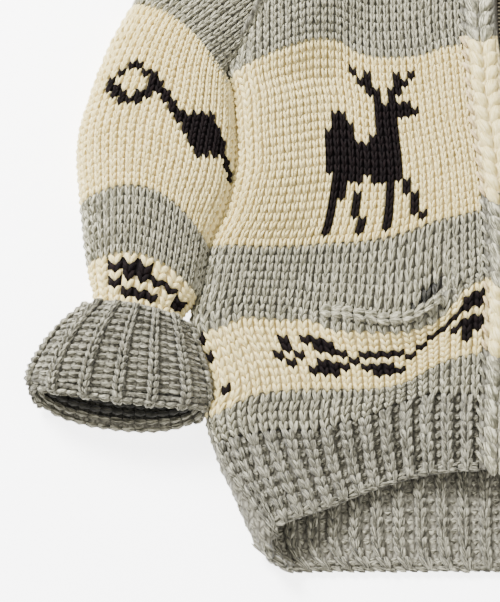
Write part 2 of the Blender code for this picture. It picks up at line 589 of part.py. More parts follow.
def back():
    """The whole back, from one side seam to the other."""
    c = np.array([-1.0, -0.78, -0.56, -0.37, -0.18, 0.0, 0.14, 0.32, 0.5, 0.66, 0.84, 1.0])
    low = (SIDE_ROWS - RIB_TOP_Y) / (UNDERARM_Y - RIB_TOP_Y)
    r = np.concatenate([low, 1 + ARM_STEPS[1:]])
    grid_c, grid_r = np.meshgrid(c, r)
    outer, inner = offset(back_surface, grid_c, grid_r, -CLOTH)
    inner[0, :, 1] = outer[0, :, 1]
    beside_neck = outer[-1, :, 0] > NECK_HALF - 4
    inner[-1, beside_neck, 2] = outer[-1, beside_neck, 2]
    turns = 2 * math.pi - HALF_TURNS
    outside = sleeve_section(ARMHOLE, turns) + ARMHOLE_WAY * GAP
    outer[CHEST_ROW:, 0, :2] = outside[:, :2]
    inner[CHEST_ROW:, 0] = sleeve_section(ARMHOLE, turns, CLOTH) + ARMHOLE_WAY * GAP
    both = []
    for skin in (outer, inner):
        skin[:, -1, 0] = 0.0
        right = skin * (RIGHT, 1, 1)
        left = skin[:, -2::-1] * (LEFT, 1, 1)
        both.append(lie(np.concatenate([right, left], axis=1)))
    wall("back", *both, grid_faces(len(r), both[0].shape[1]), "cream")


def back_hem_rib():
    """Ribbed lower edge of the back: ribs on the inner face, and on the turned sides."""
    v = -RIB_ROWS
    u = np.linspace(0, 1, 2 * BACK_RIBS + 1)
    grid_u, grid_v = np.meshgrid(u, v)

    def plain(u, v):
        """u from the side seam to the centre line, v from the top of the rib to the hem."""
        u, v = np.broadcast_arrays(u, v)
        climb = climb_to_seam(RIB_TOP_Y)
        run = u * (climb + read(SIDE, "y", "half", RIB_TOP_Y) - UNDER_ROLL) - climb
        hem = ACROSS["hem"][0] * ease(-run / climb)
        y = RIB_TOP_Y + (hem - RIB_TOP_Y) * v
        climb_here = climb_to_seam(y)
        run = u * (climb_here + read(SIDE, "y", "half", y) - UNDER_ROLL) - climb_here
        x, z = back_section(run, y)
        return np.stack([x, y, z], axis=-1)

    outer, inner = offset(plain, grid_u, grid_v, CLOTH)
    inner[0, :, 1] = outer[0, :, 1]
    away = (outer - inner) / CLOTH
    wave = 0.5 + 0.5 * np.cos(2 * math.pi * BACK_RIBS * grid_u)
    on_side = ease((outer[..., 2] - SIDE_LOW) / SIDE_LOW_FADE)
    rounding = EDGE_ROUND * ease((grid_v - EDGE_FROM) / (1 - EDGE_FROM))
    outer = outer - away * ((RIB_DEPTH * wave + rounding) * on_side)[..., None]
    inner = inner + away * (RIB_DEPTH * wave * (1 - on_side))[..., None]
    both = []
    for skin in (outer, inner):
        skin[:, -1, 0] = 0.0
        right = skin * (RIGHT, 1, 1)
        left = skin[:, -2::-1] * (LEFT, 1, 1)
        both.append(lie(np.concatenate([right, left], axis=1)))
    wall("back_hem_rib", *both, grid_faces(len(v), both[0].shape[1]), "grey")


# ---------------------------------------------------------------- band, collar, zip
def front_band(side):
    """Band up a front edge: the two legs of one big chain, side by side."""
    x, y = np.meshgrid(BAND_PROFILE["x"], band_rows())
    centre = read(CENTRE, "y", "high", y)
    raised = BAND_RAISED * BAND_PROFILE["raised"][None, :]
    outer = np.stack([x * side, y, centre + raised + GAP], axis=-1)
    inner = np.stack([x * side, y, centre - CLOTH + GAP], axis=-1)
    faces = grid_faces(*x.shape)
    name = "front_band_right" if side < 0 else "front_band_left"
    wall(name, lie(outer), lie(inner), faces, "cream")


def cover(half, y):
    """Height of what the collar lies on: the fronts and bands, the turned shoulder, then
    the floor beyond it."""
    armhole = ARMHOLE["ox"] + (ARMHOLE["oy"] - y) * ARMHOLE_SLOPE
    high = np.minimum(level_height(half, y, armhole - ROLL - half), ARM_TOP)
    band = read(CENTRE, "y", "high", y) + BAND_RAISED
    high = np.maximum(high, band * (half < BAND_EDGE + 4) * (y < BAND_TOP + 6))
    past = shoulder_line(np.maximum(half, NECK_HALF)) - y + BRIDGE
    front_side = MID + (high - MID) * arc(past / SHOULDER_ROLL)
    beyond = MID * np.sqrt(np.clip(1 - (past / BRIDGE) ** 2, 0, 1))
    return np.where(past > 0, front_side, beyond) + GAP


def collar_surface(a, b, depth=0.0):
    """Upper face of the collar's right half, or a face `depth` inside it.

    a runs round the neck from the zip to the middle of the back.  b climbs from the sewn
    edge (0 to 0.3), turns over the fold (0.3 to 0.6) and spreads to the outer edge (1).
    """
    a, b = np.broadcast_arrays(a, b)
    row = {k: read(COLLAR, "a", k, a) for k in COLLAR}
    out_x = -np.cos(np.radians(row["turn"]))
    out_y = np.sin(np.radians(row["turn"]))
    climb = np.clip(b / FOLD_FROM, 0, 1)
    over = np.clip((b - FOLD_FROM) / (FOLD_TO - FOLD_FROM), 0, 1) * math.pi / 2
    spread = np.clip((b - FOLD_TO) / (1 - FOLD_TO), 0, 1)
    foot = row["crown"] - FOLD
    n = FOLD - (FOLD - depth) * np.cos(over) - CLOTH - SEAT + spread * row["wide"]
    x = row["nx"] + out_x * n
    y = row["ny"] + out_y * n
    rising = row["start"] + (foot - row["start"]) * climb + (FOLD - depth) * np.sin(over)
    line = row["crown"] + (row["edge"] - row["crown"]) * ease(spread)
    laid = cover(np.abs(x), y) + CLOTH + COLLAR_OFF
    higher = 0.5 * (line + laid + np.hypot(line - laid, COLLAR_BLEND))
    share = ease(spread / SPREAD_FADE)
    z = np.where(b <= FOLD_TO, rising, row["crown"] * (1 - share) + higher * share - depth)
    return np.stack([x, y, z], axis=-1)


def collar_piece(name, a, mirror):
    """One part of the collar over a stretch of the neck."""
    b = np.array([0.0, 0.3, 0.4, 0.5, 0.6, 0.66, 0.74, 0.82, 0.91, 1.0])
    grid_b, grid_a = np.meshgrid(b, a)
    both = []
    for depth in (0.0, CLOTH):
        skin = collar_surface(grid_a, grid_b, depth)
        if mirror is None:
            skin[-1, :, 0] = 0.0
            whole = np.concatenate([skin * (RIGHT, 1, 1), skin[-2::-1] * (LEFT, 1, 1)], axis=0)
        else:
            whole = skin * (mirror, 1, 1)
        both.append(lie(whole))
    wall(name, *both, grid_faces(both[0].shape[0], len(b)), "grey")


def collar():
    """Lapel parts at both sides and the part behind the neck."""
    lapel = np.linspace(0.0, COLLAR_SEAM - SEAM_HALF, 11)
    behind = np.linspace(COLLAR_SEAM + SEAM_HALF, 1.0, 8)
    collar_piece("collar_right", lapel, RIGHT)
    collar_piece("collar_left", lapel, LEFT)
    collar_piece("collar_back", behind, None)


def strip(name, x_from, x_to, low, high, y, colour):
    """A flat strip along the centre, its heights measured from the fronts' own height."""
    x, y = np.broadcast_arrays(np.array([x_from, x_to])[None, :], y[:, None])
    centre = read(CENTRE, "y", "high", y)
    outer = lie(np.stack([x, y, centre + high], axis=-1))
    inner = lie(np.stack([x, y, centre + low], axis=-1))
    wall(name, outer, inner, grid_faces(len(y), 2), colour)


def box(name, size, centre, colour, bevel=0.0):
    """A box, its edges bevelled in its mesh."""
    mesh = bpy.data.meshes.new(name)
    body = bmesh.new()
    bmesh.ops.create_cube(body, size=1.0)
    bmesh.ops.scale(body, vec=[s * MM for s in size], verts=body.verts)
    if bevel:
        bmesh.ops.bevel(body, geom=body.edges, offset=bevel * MM, segments=1, affect="EDGES")
    bmesh.ops.translate(body, vec=[s * MM for s in centre], verts=body.verts)
    body.to_mesh(mesh)
    body.free()
    mesh.materials.append(material(colour))
    made = bpy.data.objects.new(name, mesh)
    parts.objects.link(made)
    return made


def combine(target, tool, operation):
    """Boolean of two objects; a tool that cuts stays as a hidden guide."""
    modifier = target.modifiers.new(operation.lower(), "BOOLEAN")
    modifier.operation = operation
    modifier.solver = "EXACT"
    modifier.object = tool
    tool.hide_render = True
    tool.display_type = "WIRE"
    parts.objects.unlink(tool)
    cutters.objects.link(tool)


def zip_fastener():
    """Closed teeth on two tapes behind the bands, the slider at the top and its pull tab."""
    rows = np.linspace(ZIP_BOTTOM, SLIDER_Y - SLIDER[1] * 0.75, 17)
    tape_rows = np.append(rows, BAND_TOP - GAP)
    for side, word in ((RIGHT, "right"), (LEFT, "left")):
        ends = sorted((side * TAPE_HALF, side * (ZIP_HALF + GAP)))
        strip(f"zip_tape_{word}", *ends, *TAPE_HEIGHTS, tape_rows, "tape")
    strip("zip_chain", -ZIP_HALF, ZIP_HALF, *TEETH_HEIGHTS, rows, "metal")
    arch_z = PIVOT_Z + ARCH_OPENING[2] / 2 + ARCH_OVER - ARCH[2] / 2
    slider_z = arch_z - ARCH[2] / 2 + ARCH_SUNK - SLIDER[2] / 2
    slider = box("zip_slider", SLIDER, (0, SLIDER_Y, slider_z), "metal", SLIDER_BEVEL)
    arch = box("slider_arch", ARCH, (0, SLIDER_Y, arch_z), "metal")
    window = box("arch_window", ARCH_OPENING, (0, SLIDER_Y, PIVOT_Z), "metal")
    combine(slider, arch, "UNION")
    combine(slider, window, "DIFFERENCE")
    tab_y = SLIDER_Y + EYE_EDGE - TAB[1] / 2
    eye_y = SLIDER_Y - EYE_EDGE - EYE_BEHIND - TAB_EYE[1] / 2
    tab = box("zip_pull", TAB, (0, tab_y, PIVOT_Z), "metal")
    eye = box("pull_window", TAB_EYE, (0, eye_y, PIVOT_Z), "metal")
    combine(tab, eye, "DIFFERENCE")


def settle():
    """Put the origin on the floor under the middle of the whole, and the tab's own origin
    on its hinge."""
    corners = np.array([vertex.co for part in parts.objects for vertex in part.data.vertices])
    low, high = corners.min(axis=0), corners.max(axis=0)
    shift = Vector((-(low[0] + high[0]) / 2, -(low[1] + high[1]) / 2, -low[2]))
    for made in (*parts.objects, *cutters.objects):
        made.data.transform(Matrix.Translation(shift))
    tab = parts.objects["zip_pull"]
    hinge = Vector((0.0, SLIDER_Y, PIVOT_Z)) * MM + shift
    tab.data.transform(Matrix.Translation(-hinge))
    tab.location = hinge


# ---------------------------------------------------------------- build
for old in list(bpy.data.objects):
    bpy.data.objects.remove(old, do_unlink=True)
parts = bpy.data.collections.new("cowichan_cardigan")
cutters = bpy.data.collections.new("cutters")
bpy.context.scene.collection.children.link(parts)
bpy.context.scene.collection.children.link(cutters)

back()
back_hem_rib()
for which in (RIGHT, LEFT):
    front(which)
    front_hem_rib(which)
    pocket_lining(which)
    sleeve(which)
    cuff(which)
    front_band(which)
collar()
zip_fastener()
settle()
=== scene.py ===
# %% [markdown]
# # Cowichan cardigan, laid flat with its zip closed
# Every knitted piece is drawn twice: a thin shell of cloth on the CAD model's form, and the
# stitches that stand on it.  A stitch is a V of two plump legs.  All sizes are millimetres
# from the back's lower edge, and become metres of the shared frame as a mesh is made.

# %% Imports and frame
import math

import bpy
import numpy as np
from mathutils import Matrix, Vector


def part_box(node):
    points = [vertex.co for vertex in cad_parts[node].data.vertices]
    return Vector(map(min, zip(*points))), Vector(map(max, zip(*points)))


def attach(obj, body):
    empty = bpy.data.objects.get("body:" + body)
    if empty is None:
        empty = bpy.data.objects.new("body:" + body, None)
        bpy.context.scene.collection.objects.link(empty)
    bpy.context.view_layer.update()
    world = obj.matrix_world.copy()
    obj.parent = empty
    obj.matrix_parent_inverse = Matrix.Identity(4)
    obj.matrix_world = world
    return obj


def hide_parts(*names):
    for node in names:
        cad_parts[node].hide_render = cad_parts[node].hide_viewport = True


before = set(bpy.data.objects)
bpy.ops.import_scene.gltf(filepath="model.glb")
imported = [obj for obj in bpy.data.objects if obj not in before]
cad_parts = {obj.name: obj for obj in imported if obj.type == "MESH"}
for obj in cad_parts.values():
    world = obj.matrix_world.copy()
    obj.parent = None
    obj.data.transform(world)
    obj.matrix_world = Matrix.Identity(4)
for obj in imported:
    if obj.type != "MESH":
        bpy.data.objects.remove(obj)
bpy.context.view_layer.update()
MM = 0.001
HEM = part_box("back_hem_rib")[0][1]      # the back's lower edge in the frame
BODY = "cardigan"
random = np.random.default_rng(7)
print("solids in the frame:", len(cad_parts))

# %% [markdown]
# ## Form
# The cloth lies on the same form as the solids.  That form comes from a few measures, some
# tables and a few curves, so that a change of one number moves cloth and stitches together.
# The measures come first.

# %% Measures
GAP = 0.3                   # room between two sewn pieces
CLOTH = 7.0                 # thickness of the knitted cloth
ROLL = 22.0                 # how far the side turns in plan before it is level
UNDER_ROLL = 18.0           # the same below, before the cloth lies on the floor
MID = 18.0                  # height of the armhole and shoulder edges
ARM_TOP = 36.0              # height of the cloth at the armhole
LAID = 14.7                 # height of a front that lies on the back
SHOULDER_ROLL = 22.0        # how far the shoulder turns in plan before it is level
SHOULDER_TIP = 12.0         # how sharply the armhole's edge gives way to the shoulder's
SHOULDER_FADE = 72.0        # how far from the shoulder line a front starts to rise to it
UNDERARM_Y, SHOULDER_Y = 397.0, 640.0
TIP_Y, TIP_HALF = 604.0, 173.0          # tip of the shoulder
BAND_EDGE, BAND_TOP = 34.0, 540.0       # seam between front and band, and its upper end
BAND_RAISED = 4.6           # height of the band's chain above the fronts
NECK_HALF, SCOOP_HALF = 74.0, 40.0      # half widths of the neck and its level part behind
RIB_TOP_Y, BACK_NECK_Y = 96.0, 634.0    # top of the back's rib, and its edge at the neck
CHEST_RISE = 8.0            # how much higher the underarm line is at the band
TURN_PART = 0.12            # share of a front's width that its turned side takes
BAND_FADE, SIDE_FADE = 62.0, 72.0       # widths over which a front leaves its edges' heights
TIP_RISE = 50.0             # length over which a front rises to the shoulder
STRAY_FULL, STRAY_NONE = 45.0, 150.0    # the middle strays sideways between these widths
print("hem to shoulder:", SHOULDER_Y, "mm, cloth:", CLOTH, "mm thick")

# %% [markdown]
# The smaller forms have measures of their own: the round ends of the tubes, the pocket that
# bulges, the lip below its slit, and the collar that turns over a fold.

# %% Measures of the smaller forms
TUBE_CORNER = 0.92          # how round a tube's ends are, 1 for an ellipse
FOOT_WIDE, FOOT_FLAT = 1.18, 0.6        # how wide and how flat a tube's underside is
POCKET = dict(x=105.0, y=158.0, flat=50.0, fade=82.0, rise=4.6)
LIP_LIFT, LIP_OPEN, LIP_FADE = 8.0, 9.0, 30.0   # how far the lip stands up, gapes and fades
SLIT_FROM, SLIT_TO = 148.0, 61.0        # ends of the slit, from the centre line
COLLAR_SEAM = 0.64          # where the lapel part ends and the back part starts
FOLD = 9.5                  # radius of the collar's fold
SEAT = 1.2                  # from a front's edge to the collar's sewn edge beside it
BRIDGE = 14.0               # how far past the shoulder line the collar starts to fall
print("pocket slit:", SLIT_FROM - SLIT_TO, "mm long")

# %% [markdown]
# A table has the heights or widths a tailor would note at a few places, and a curve fills
# in the rest.  These are the body's: its half width and the height of its rolled side, the
# turn of the side seam in degrees, the height beside the bands, how far the middle strays,
# and the lines across a front from its side seam, 0, to its band, 1.

# %% Tables of the body
def table(names, rows):
    """Columns of a short table, by name."""
    data = np.array(rows, dtype=float)
    return {name: data[:, k] for k, name in enumerate(names.split())}


SIDE = table("y half high", [
    (0, 176, 22), (4, 188, 24), (12, 198, 26), (29, 208, 28), (53, 218, 29), (76, 229, 30),
    (96, 236, 31), (112, 240.5, 31), (122, 241, 31), (135, 236.5, 31), (148, 238, 31),
    (167, 244, 31), (179, 249.5, 32), (190, 253.5, 32), (202, 252.5, 32), (218, 249, 32),
    (235, 246, 32), (259, 240.5, 32), (276, 232, 32), (301, 225, 33), (323, 221, 33),
    (348, 222, 34), (376, 223, 35), (397, 227.2, 36)])
SEAM = table("y turn", [
    (0, 88), (20, 84), (38, 64), (48, 55), (72, 38), (96, 26), (200, 22), (330, 18), (397, 0)])
CENTRE = table("y high", [
    (60, 27), (90, 26), (134, 23), (200, 21), (400, 20.5), (500, 22), (560, 24), (640, 25)])
STRAY = table("y x", [
    (0, 2), (70, 2.5), (114, 3.5), (198, 10), (230, 11.5), (280, 11), (315, 8.5), (340, 6),
    (363, 3), (408, 0), (450, -3), (490, -2), (510, 0), (700, 0)])
ACROSS = table("part hem rib slit", [
    (0.00, 22, 96, 196), (0.17, 33, 102, 198), (0.28, 40, 107, 200), (0.39, 47, 107, 201.5),
    (0.52, 57, 114, 203), (0.60, 62, 118, 200), (0.68, 67, 126, 196.5), (0.76, 71, 132, 198.5),
    (0.83, 73, 136, 209), (0.90, 74, 135, 226), (1.00, 74, 134, 234)])
print("widest:", 2 * SIDE["half"].max(), "mm at", SIDE["y"][SIDE["half"].argmax()], "mm")

# %% [markdown]
# A row of the sleeve joins a point of its outer edge to one of its inner edge, and a ring of
# the cuff joins its two side points.  The collar's rows go round the neck: the neck edge,
# the way the collar spreads, its width, and the heights of its seam, fold and outer edge.

# %% Tables of the sleeves, cuffs and collar
SLEEVE = table("i ox oy ix iy base high bow", [
    (0, 331, 187, 266, 174, 8.0, 35, 0), (1, 328, 208, 264, 195, 7.0, 37, 2),
    (2, 334, 238, 253, 213, 1.5, 46, 16), (3, 340, 289, 245, 254, 0, 50, 24),
    (4, 343.5, 334, 229, 296, 0, 50, 22), (5, 332, 385, 224.5, 338, 0, 50, 20),
    (6, 318, 424, 225.5, 368, 0, 49, 16), (7, 301, 458, 227.3, 385, 0, 47, 12),
    (8, 272, 510, 229.0, 390.5, 0, 44, 6), (9, 228, 566, 229.5, 394, 0, 40, 12),
    (10, TIP_HALF, TIP_Y, 227.2, UNDERARM_Y, 0, ARM_TOP, 18)])
CUFF = table("i lx ly rx ry base top lean_top lean_under", [
    (0, 333, 206, 258.5, 191.5, 1.6, 48, 3, 0), (1, 345, 197, 253.8, 180.5, 0, 51, 2, 0),
    (2, 362, 180, 247.5, 163, 0, 51, 0, -4), (3, 375, 160, 242.0, 144, 0, 49, -2, -8),
    (4, 380, 147, 240.3, 131, 0, 47, -4, -14), (5, 375, 140, 245.0, 123, 4, 41, -8, -22),
    (6, 368, 147, 251.5, 131, 10, 36, -3, -15), (7, 350, 163, 258.0, 148, 12, 35, 0, -5),
    (8, 324.6, 185, 272.6, 174.6, 15, 36, 0, 0)])
COLLAR = table("a nx ny turn wide start crown edge", [
    (0.000, 9, 542.5, 222, 26, 16.0, 39, 38), (0.136, 34, 542.5, 208, 56, 16.2, 38, 36),
    (0.323, 52, 572, 194, 80, 17.0, 37, 33), (0.499, 64, 602, 182, 88, 17.0, 44, 33),
    (0.586, 67, 618, 172, 88, 15.0, 46, 30), (0.656, 62, 630, 148, 84, 13.0, 45, 14),
    (0.739, 48, 636, 118, 78, 10.5, 41, 9), (0.864, 25, 637, 98, 72, 8.0, 36, 8),
    (1.000, 0, 637, 90, 70, 7.5, 33, 8)])
print("rows of sleeve, cuff and collar:", *(len(rows["i" if "i" in rows else "a"])
                                            for rows in (SLEEVE, CUFF, COLLAR)))

# %% [markdown]
# The curve through a table's values must not overshoot, or the cloth would get waves that
# no table has.  So each piece of it is a cubic whose slope at a value is the harmonic mean
# of the slopes beside it, and level where they change sign.

# %% Curves through the tables
def smooth(at, xs, ys):
    """Curve through (xs, ys) with no overshoot, level past both ends."""
    at = np.clip(at, xs[0], xs[-1])
    step = np.diff(xs)
    slope = np.diff(ys) / step
    tangent = np.zeros_like(ys)
    tangent[0], tangent[-1] = slope[0], slope[-1]
    same = slope[:-1] * slope[1:] > 0
    total = np.where(same, slope[:-1] + slope[1:], 1.0)
    tangent[1:-1] = np.where(same, 2 * slope[:-1] * slope[1:] / total, 0.0)
    k = np.clip(np.searchsorted(xs, at, side="right") - 1, 0, len(step) - 1)
    s = (at - xs[k]) / step[k]
    rise = ys[k] * (1 + 2 * s) * (1 - s) ** 2 + ys[k + 1] * s * s * (3 - 2 * s)
    return rise + step[k] * s * (1 - s) * (tangent[k] * (1 - s) - tangent[k + 1] * s)


def read(columns, key, name, at):
    """Value of one column where another has the value `at`."""
    return smooth(np.asarray(at, dtype=float), columns[key], columns[name])


def ease(s):
    """Smooth step from 0 to 1: 3 s^2 - 2 s^3."""
    s = np.clip(s, 0.0, 1.0)
    return s * s * (3.0 - 2.0 * s)


def arc(s):
    """Quarter circle: 0 at its foot, 1 and level from s = 1 on."""
    return np.sqrt(np.clip(1.0 - (1.0 - np.clip(s, 0.0, 1.0)) ** 2, 0.0, 1.0))


def lie(points):
    """Points as the cardigan lies: the middle strays sideways, the sides don't."""
    out = np.array(points, dtype=float)
    fade = 1.0 - ease((np.abs(out[..., 0]) - STRAY_FULL) / (STRAY_NONE - STRAY_FULL))
    out[..., 0] += read(STRAY, "y", "x", out[..., 1]) * fade
    return out


print("pit to pit:", 2 * float(read(SIDE, "y", "half", UNDERARM_Y)), "mm")

# %% [markdown]
# ## Surfaces of the pieces
# Each function gives points of a piece's outer face from two parameters, with the distance
# from the centre line positive.  The height of a front comes first: it leaves the bands'
# height, rises to the sides, to the armhole and over the pocket.

# %% Height of a front
def shoulder_line(half):
    """Y of the shoulder line at a distance from the centre line."""
    return SHOULDER_Y - (SHOULDER_Y - TIP_Y) / (TIP_HALF - NECK_HALF) * (half - NECK_HALF)


def level_height(half, y, from_side):
    """Height of a front away from its edges, from_side past the end of the side's turn."""
    side_high = read(SIDE, "y", "high", y)
    centre = read(CENTRE, "y", "high", y)
    plain = LAID + (centre - LAID) * (1 - ease((half - BAND_EDGE + 6) / BAND_FADE))
    high = plain + (side_high - plain) * (1 - ease(from_side / SIDE_FADE))
    to_line = shoulder_line(half) - y
    high = high + (ARM_TOP - high) * ease((SHOULDER_FADE - to_line) / TIP_RISE)
    off_x = (np.abs(half - POCKET["x"]) - POCKET["flat"]) / (POCKET["fade"] - POCKET["flat"])
    off_y = (np.abs(y - POCKET["y"]) - POCKET["flat"]) / (POCKET["fade"] - POCKET["flat"])
    return high + POCKET["rise"] * (1 - ease(off_x)) * (1 - ease(off_y))


print("height of a front over its pocket:",
      round(float(level_height(POCKET["x"], POCKET["y"], SIDE_FADE)), 1), "mm")

# %% [markdown]
# A sleeve is a tube that lies flat: an ellipse in section, with fuller ends and a flat foot.
# Its last ring is the armhole, where the fronts and the back meet it.

# %% Sleeve and armhole
def tube_reach(turn):
    """Share of a tube's width at a turn, from -1 to 1: a cosine with fuller ends."""
    cos = np.cos(turn)
    return np.sign(cos) * np.abs(cos) ** TUBE_CORNER


def tube_lift(turn):
    """Share of a tube's half height at a turn: a sine with a flat underside."""
    sin = np.sin(turn)
    return np.where(sin >= 0, sin, -np.minimum(FOOT_WIDE * np.abs(sin) ** FOOT_FLAT, 1.0))


def sleeve_point(i, turn):
    """Outer face of a sleeve.  i runs from the cuff to the armhole along the table; turn 0
    is the outer edge, 90 degrees the top, 180 the inner edge, 270 the underside."""
    i, turn = np.broadcast_arrays(i, turn)
    ox, oy, ix, iy, base, high, bow = (
        read(SLEEVE, "i", k, i) for k in ("ox", "oy", "ix", "iy", "base", "high", "bow"))
    chord_x, chord_y = ox - ix, oy - iy
    share = 0.5 + 0.5 * tube_reach(turn)
    bend = bow * 4 * share * (1 - share) / np.hypot(chord_x, chord_y)
    return np.stack([ix + chord_x * share - bend * chord_y, iy + chord_y * share + bend * chord_x,
                     base + high / 2 * (1 + tube_lift(turn))], axis=-1)


def armhole_at(step, below):
    """Armhole point at a step of 0 (underarm) to 1 (shoulder), on the top or underside."""
    turn = np.arccos(np.clip(2 * step - 1, -1, 1))
    return sleeve_point(10.0, 2 * math.pi - turn if below else turn)


print("armhole from", armhole_at(0.0, False).round(), "to", armhole_at(1.0, False).round())

# %% [markdown]
# A front starts at the side seam with a turned side, runs level to the band and the
# neckline, and ends at the armhole and the shoulder, where it turns down to the back's edge.

# %% Lines of a front
def neckline(y):
    """A front's edge beside the band and then along the collar, out from the centre."""
    a = np.linspace(0.136, 0.586, 46)
    path_y = np.append(read(COLLAR, "a", "ny", a), SHOULDER_Y)
    path_x = np.append(read(COLLAR, "a", "nx", a) + GAP, NECK_HALF)
    return np.interp(y, path_y, path_x)


def front_lines(part, r):
    """Y of a front below the underarm line, r as in front_point."""
    hem, rib, slit = (read(ACROSS, "part", k, part) for k in ("hem", "rib", "slit"))
    chest = UNDERARM_Y + CHEST_RISE * part
    lower = np.where(r < 0, rib + (rib - hem) * r, rib + (slit - rib) * r)
    return np.where(r < 1, lower, slit + (chest - slit) * (r - 1))


def part_of(c):
    """Share of a front's width at c, as in front_point."""
    return np.where(c < 1, TURN_PART * np.clip(c, 0, 1), TURN_PART + (1 - TURN_PART) * (c - 1))


print("half width of the neck at the bands' top:", round(float(neckline(BAND_TOP)), 1), "mm")


# %% [markdown]
# The surface of a front is those lines joined: below the underarm the side's turn is a part
# of a circle, and above it the armhole's height gives way to the shoulder's at the tip.

# %% Front surface
def front_point(c, r):
    """Outer face of a front and its rib.

    c: 0 to 1 is the turn of the side from the seam up to level, 1 to 2 from there to the
    band or neckline.  r: -1 to 0 from the hem to the top of the rib, 0 to 1 from there to
    the slit, 1 to 2 on to the underarm line, 2 to 3 on to the shoulder.
    """
    c, r = np.broadcast_arrays(c, r)
    part = part_of(c)
    rise = np.clip(r - 2, 0, 1)
    arm = armhole_at(rise, below=False)
    band_y = UNDERARM_Y + CHEST_RISE + (SHOULDER_Y - UNDERARM_Y - CHEST_RISE) * rise
    across = arm[..., 0] - NECK_HALF
    share = np.where(c < 1, ROLL * (1 - np.cos(np.clip(c, 0, 1) * math.pi / 2)),
                     ROLL + (c - 1) * (across - ROLL)) / across
    above = arm[..., 1] + (band_y - arm[..., 1]) * (part + (share - part) * rise)
    y = np.where(r < 2, front_lines(part, r), above)
    edge = np.where(r < 2, read(SIDE, "y", "half", y), arm[..., 0])
    seam = np.radians(read(SEAM, "y", "turn", y)) * (r < 2)
    turn = seam + (math.pi / 2 - seam) * np.clip(c, -0.01, 1)
    level = edge - ROLL
    right = np.where(y < BAND_TOP, BAND_EDGE, neckline(y))
    x = np.where(c < 1, edge - ROLL * (1 - np.cos(turn)), level + (right - level) * (c - 1))
    high = level_height(x, y, level - x)
    side_high = read(SIDE, "y", "high", y)
    foot = np.where(r < 2, side_high / 2, arm[..., 2])
    full = np.where(r < 2, side_high, high)
    z = np.where(c < 1, foot + (full - foot) * np.sin(turn), high)
    down = arc((shoulder_line(x) - y) / SHOULDER_ROLL)
    blend = (r > 2) * (1 - (1 - ease(c)) * (1 - rise ** SHOULDER_TIP))
    z = z * (1 - blend) + (MID + (z - MID) * down) * blend
    return np.stack([x, y, z + GAP], axis=-1)


print("middle of a front's hem:", front_point(1.5, -1.0).round(1), "mm")

# %% [markdown]
# The back lies on the floor.  Round each side it climbs to the side seam, and above the
# underarm it turns up to the armhole and the shoulder.

# %% Lines of the back
def back_section(run, y):
    """Outer face of the back across the body: run is measured inwards from where the
    turned side meets the floor, and climbs the side where it is negative."""
    edge = read(SIDE, "y", "half", y)
    half_high = read(SIDE, "y", "high", y) / 2
    under = np.clip(-run / UNDER_ROLL, 0, math.pi / 2)
    over = np.maximum(-run - UNDER_ROLL * math.pi / 2, 0) / ROLL
    x = edge - UNDER_ROLL * (1 - np.sin(under)) - ROLL * (1 - np.cos(over))
    z = half_high * (1 - np.cos(under) + np.sin(over))
    return x - np.maximum(run, 0), z


def climb_to_seam(y):
    """Length of the turned side of the back, from the floor to the side seam."""
    seam = np.radians(read(SEAM, "y", "turn", y)) - GAP / ROLL
    return UNDER_ROLL * math.pi / 2 + ROLL * np.maximum(seam, -GAP / ROLL)


def back_top(half):
    """Y of the back's upper edge: the shoulder line, scooped a little at the neck."""
    share = ease((half - SCOOP_HALF) / (NECK_HALF - SCOOP_HALF))
    scoop = BACK_NECK_Y + (SHOULDER_Y - BACK_NECK_Y) * share
    return np.where(half < NECK_HALF, scoop, shoulder_line(half))


print("turned side of the back at the underarm:", round(float(climb_to_seam(UNDERARM_Y)), 1), "mm")


# %% [markdown]
# Like a front's, the back's surface joins those lines.  Its rib is the same section again,
# cut lower at the sides.

# %% Back surface and its rib
def back_point(c, r):
    """Outer face of the back, right half.  c: -1 at the side seam, 0 where the turn meets
    the floor, 1 at the centre.  r: 0 to 1 from the rib to the underarm, 2 at the shoulder."""
    c, r = np.broadcast_arrays(c, r)
    rise = np.clip(r - 1, 0, 1)
    arm = armhole_at(rise, below=True)
    near, part = np.clip(-c, 0, 1), np.clip(c, 0, 1)
    spread = UNDER_ROLL * (1 - near)
    tip = np.where(c < 0, TIP_HALF - spread, (TIP_HALF - UNDER_ROLL) * (1 - part))
    low = RIB_TOP_Y + (UNDERARM_Y - RIB_TOP_Y) * r
    y = np.where(r < 1, low, arm[..., 1] + (back_top(tip) - TIP_Y) * rise)
    edge = read(SIDE, "y", "half", y)
    run = np.where(c < 0, c * climb_to_seam(y), c * (edge - UNDER_ROLL))
    x_side, z_side = back_section(run, y)
    x_arm = np.where(c < 0, arm[..., 0] - spread, (arm[..., 0] - UNDER_ROLL) * (1 - part))
    turned = (MID - GAP) * (1 - arc((back_top(x_arm) - y) / SHOULDER_ROLL))
    turned = turned * ease((x_arm - NECK_HALF + 34) / 30)
    z_arm = np.maximum(arm[..., 2] * near ** 2, turned * ease((1 - near) * 3))
    return np.stack([np.where(r < 1, x_side, x_arm), y, np.where(r < 1, z_side, z_arm)], axis=-1)


def hem_point(u, v):
    """Outer face of the back's rib: u from the side seam to the centre, v from its top to
    the hem."""
    u, v = np.broadcast_arrays(u, v)
    climb = climb_to_seam(RIB_TOP_Y)
    run = u * (climb + read(SIDE, "y", "half", RIB_TOP_Y) - UNDER_ROLL) - climb
    hem = ACROSS["hem"][0] * ease(-run / climb)
    y = RIB_TOP_Y + (hem - RIB_TOP_Y) * v
    climb_here = climb_to_seam(y)
    run = u * (climb_here + read(SIDE, "y", "half", y) - UNDER_ROLL) - climb_here
    x, z = back_section(run, y)
    return np.stack([x, y, z], axis=-1)


print("back's hem at the centre:", hem_point(1.0, 1.0).round(1), "mm")

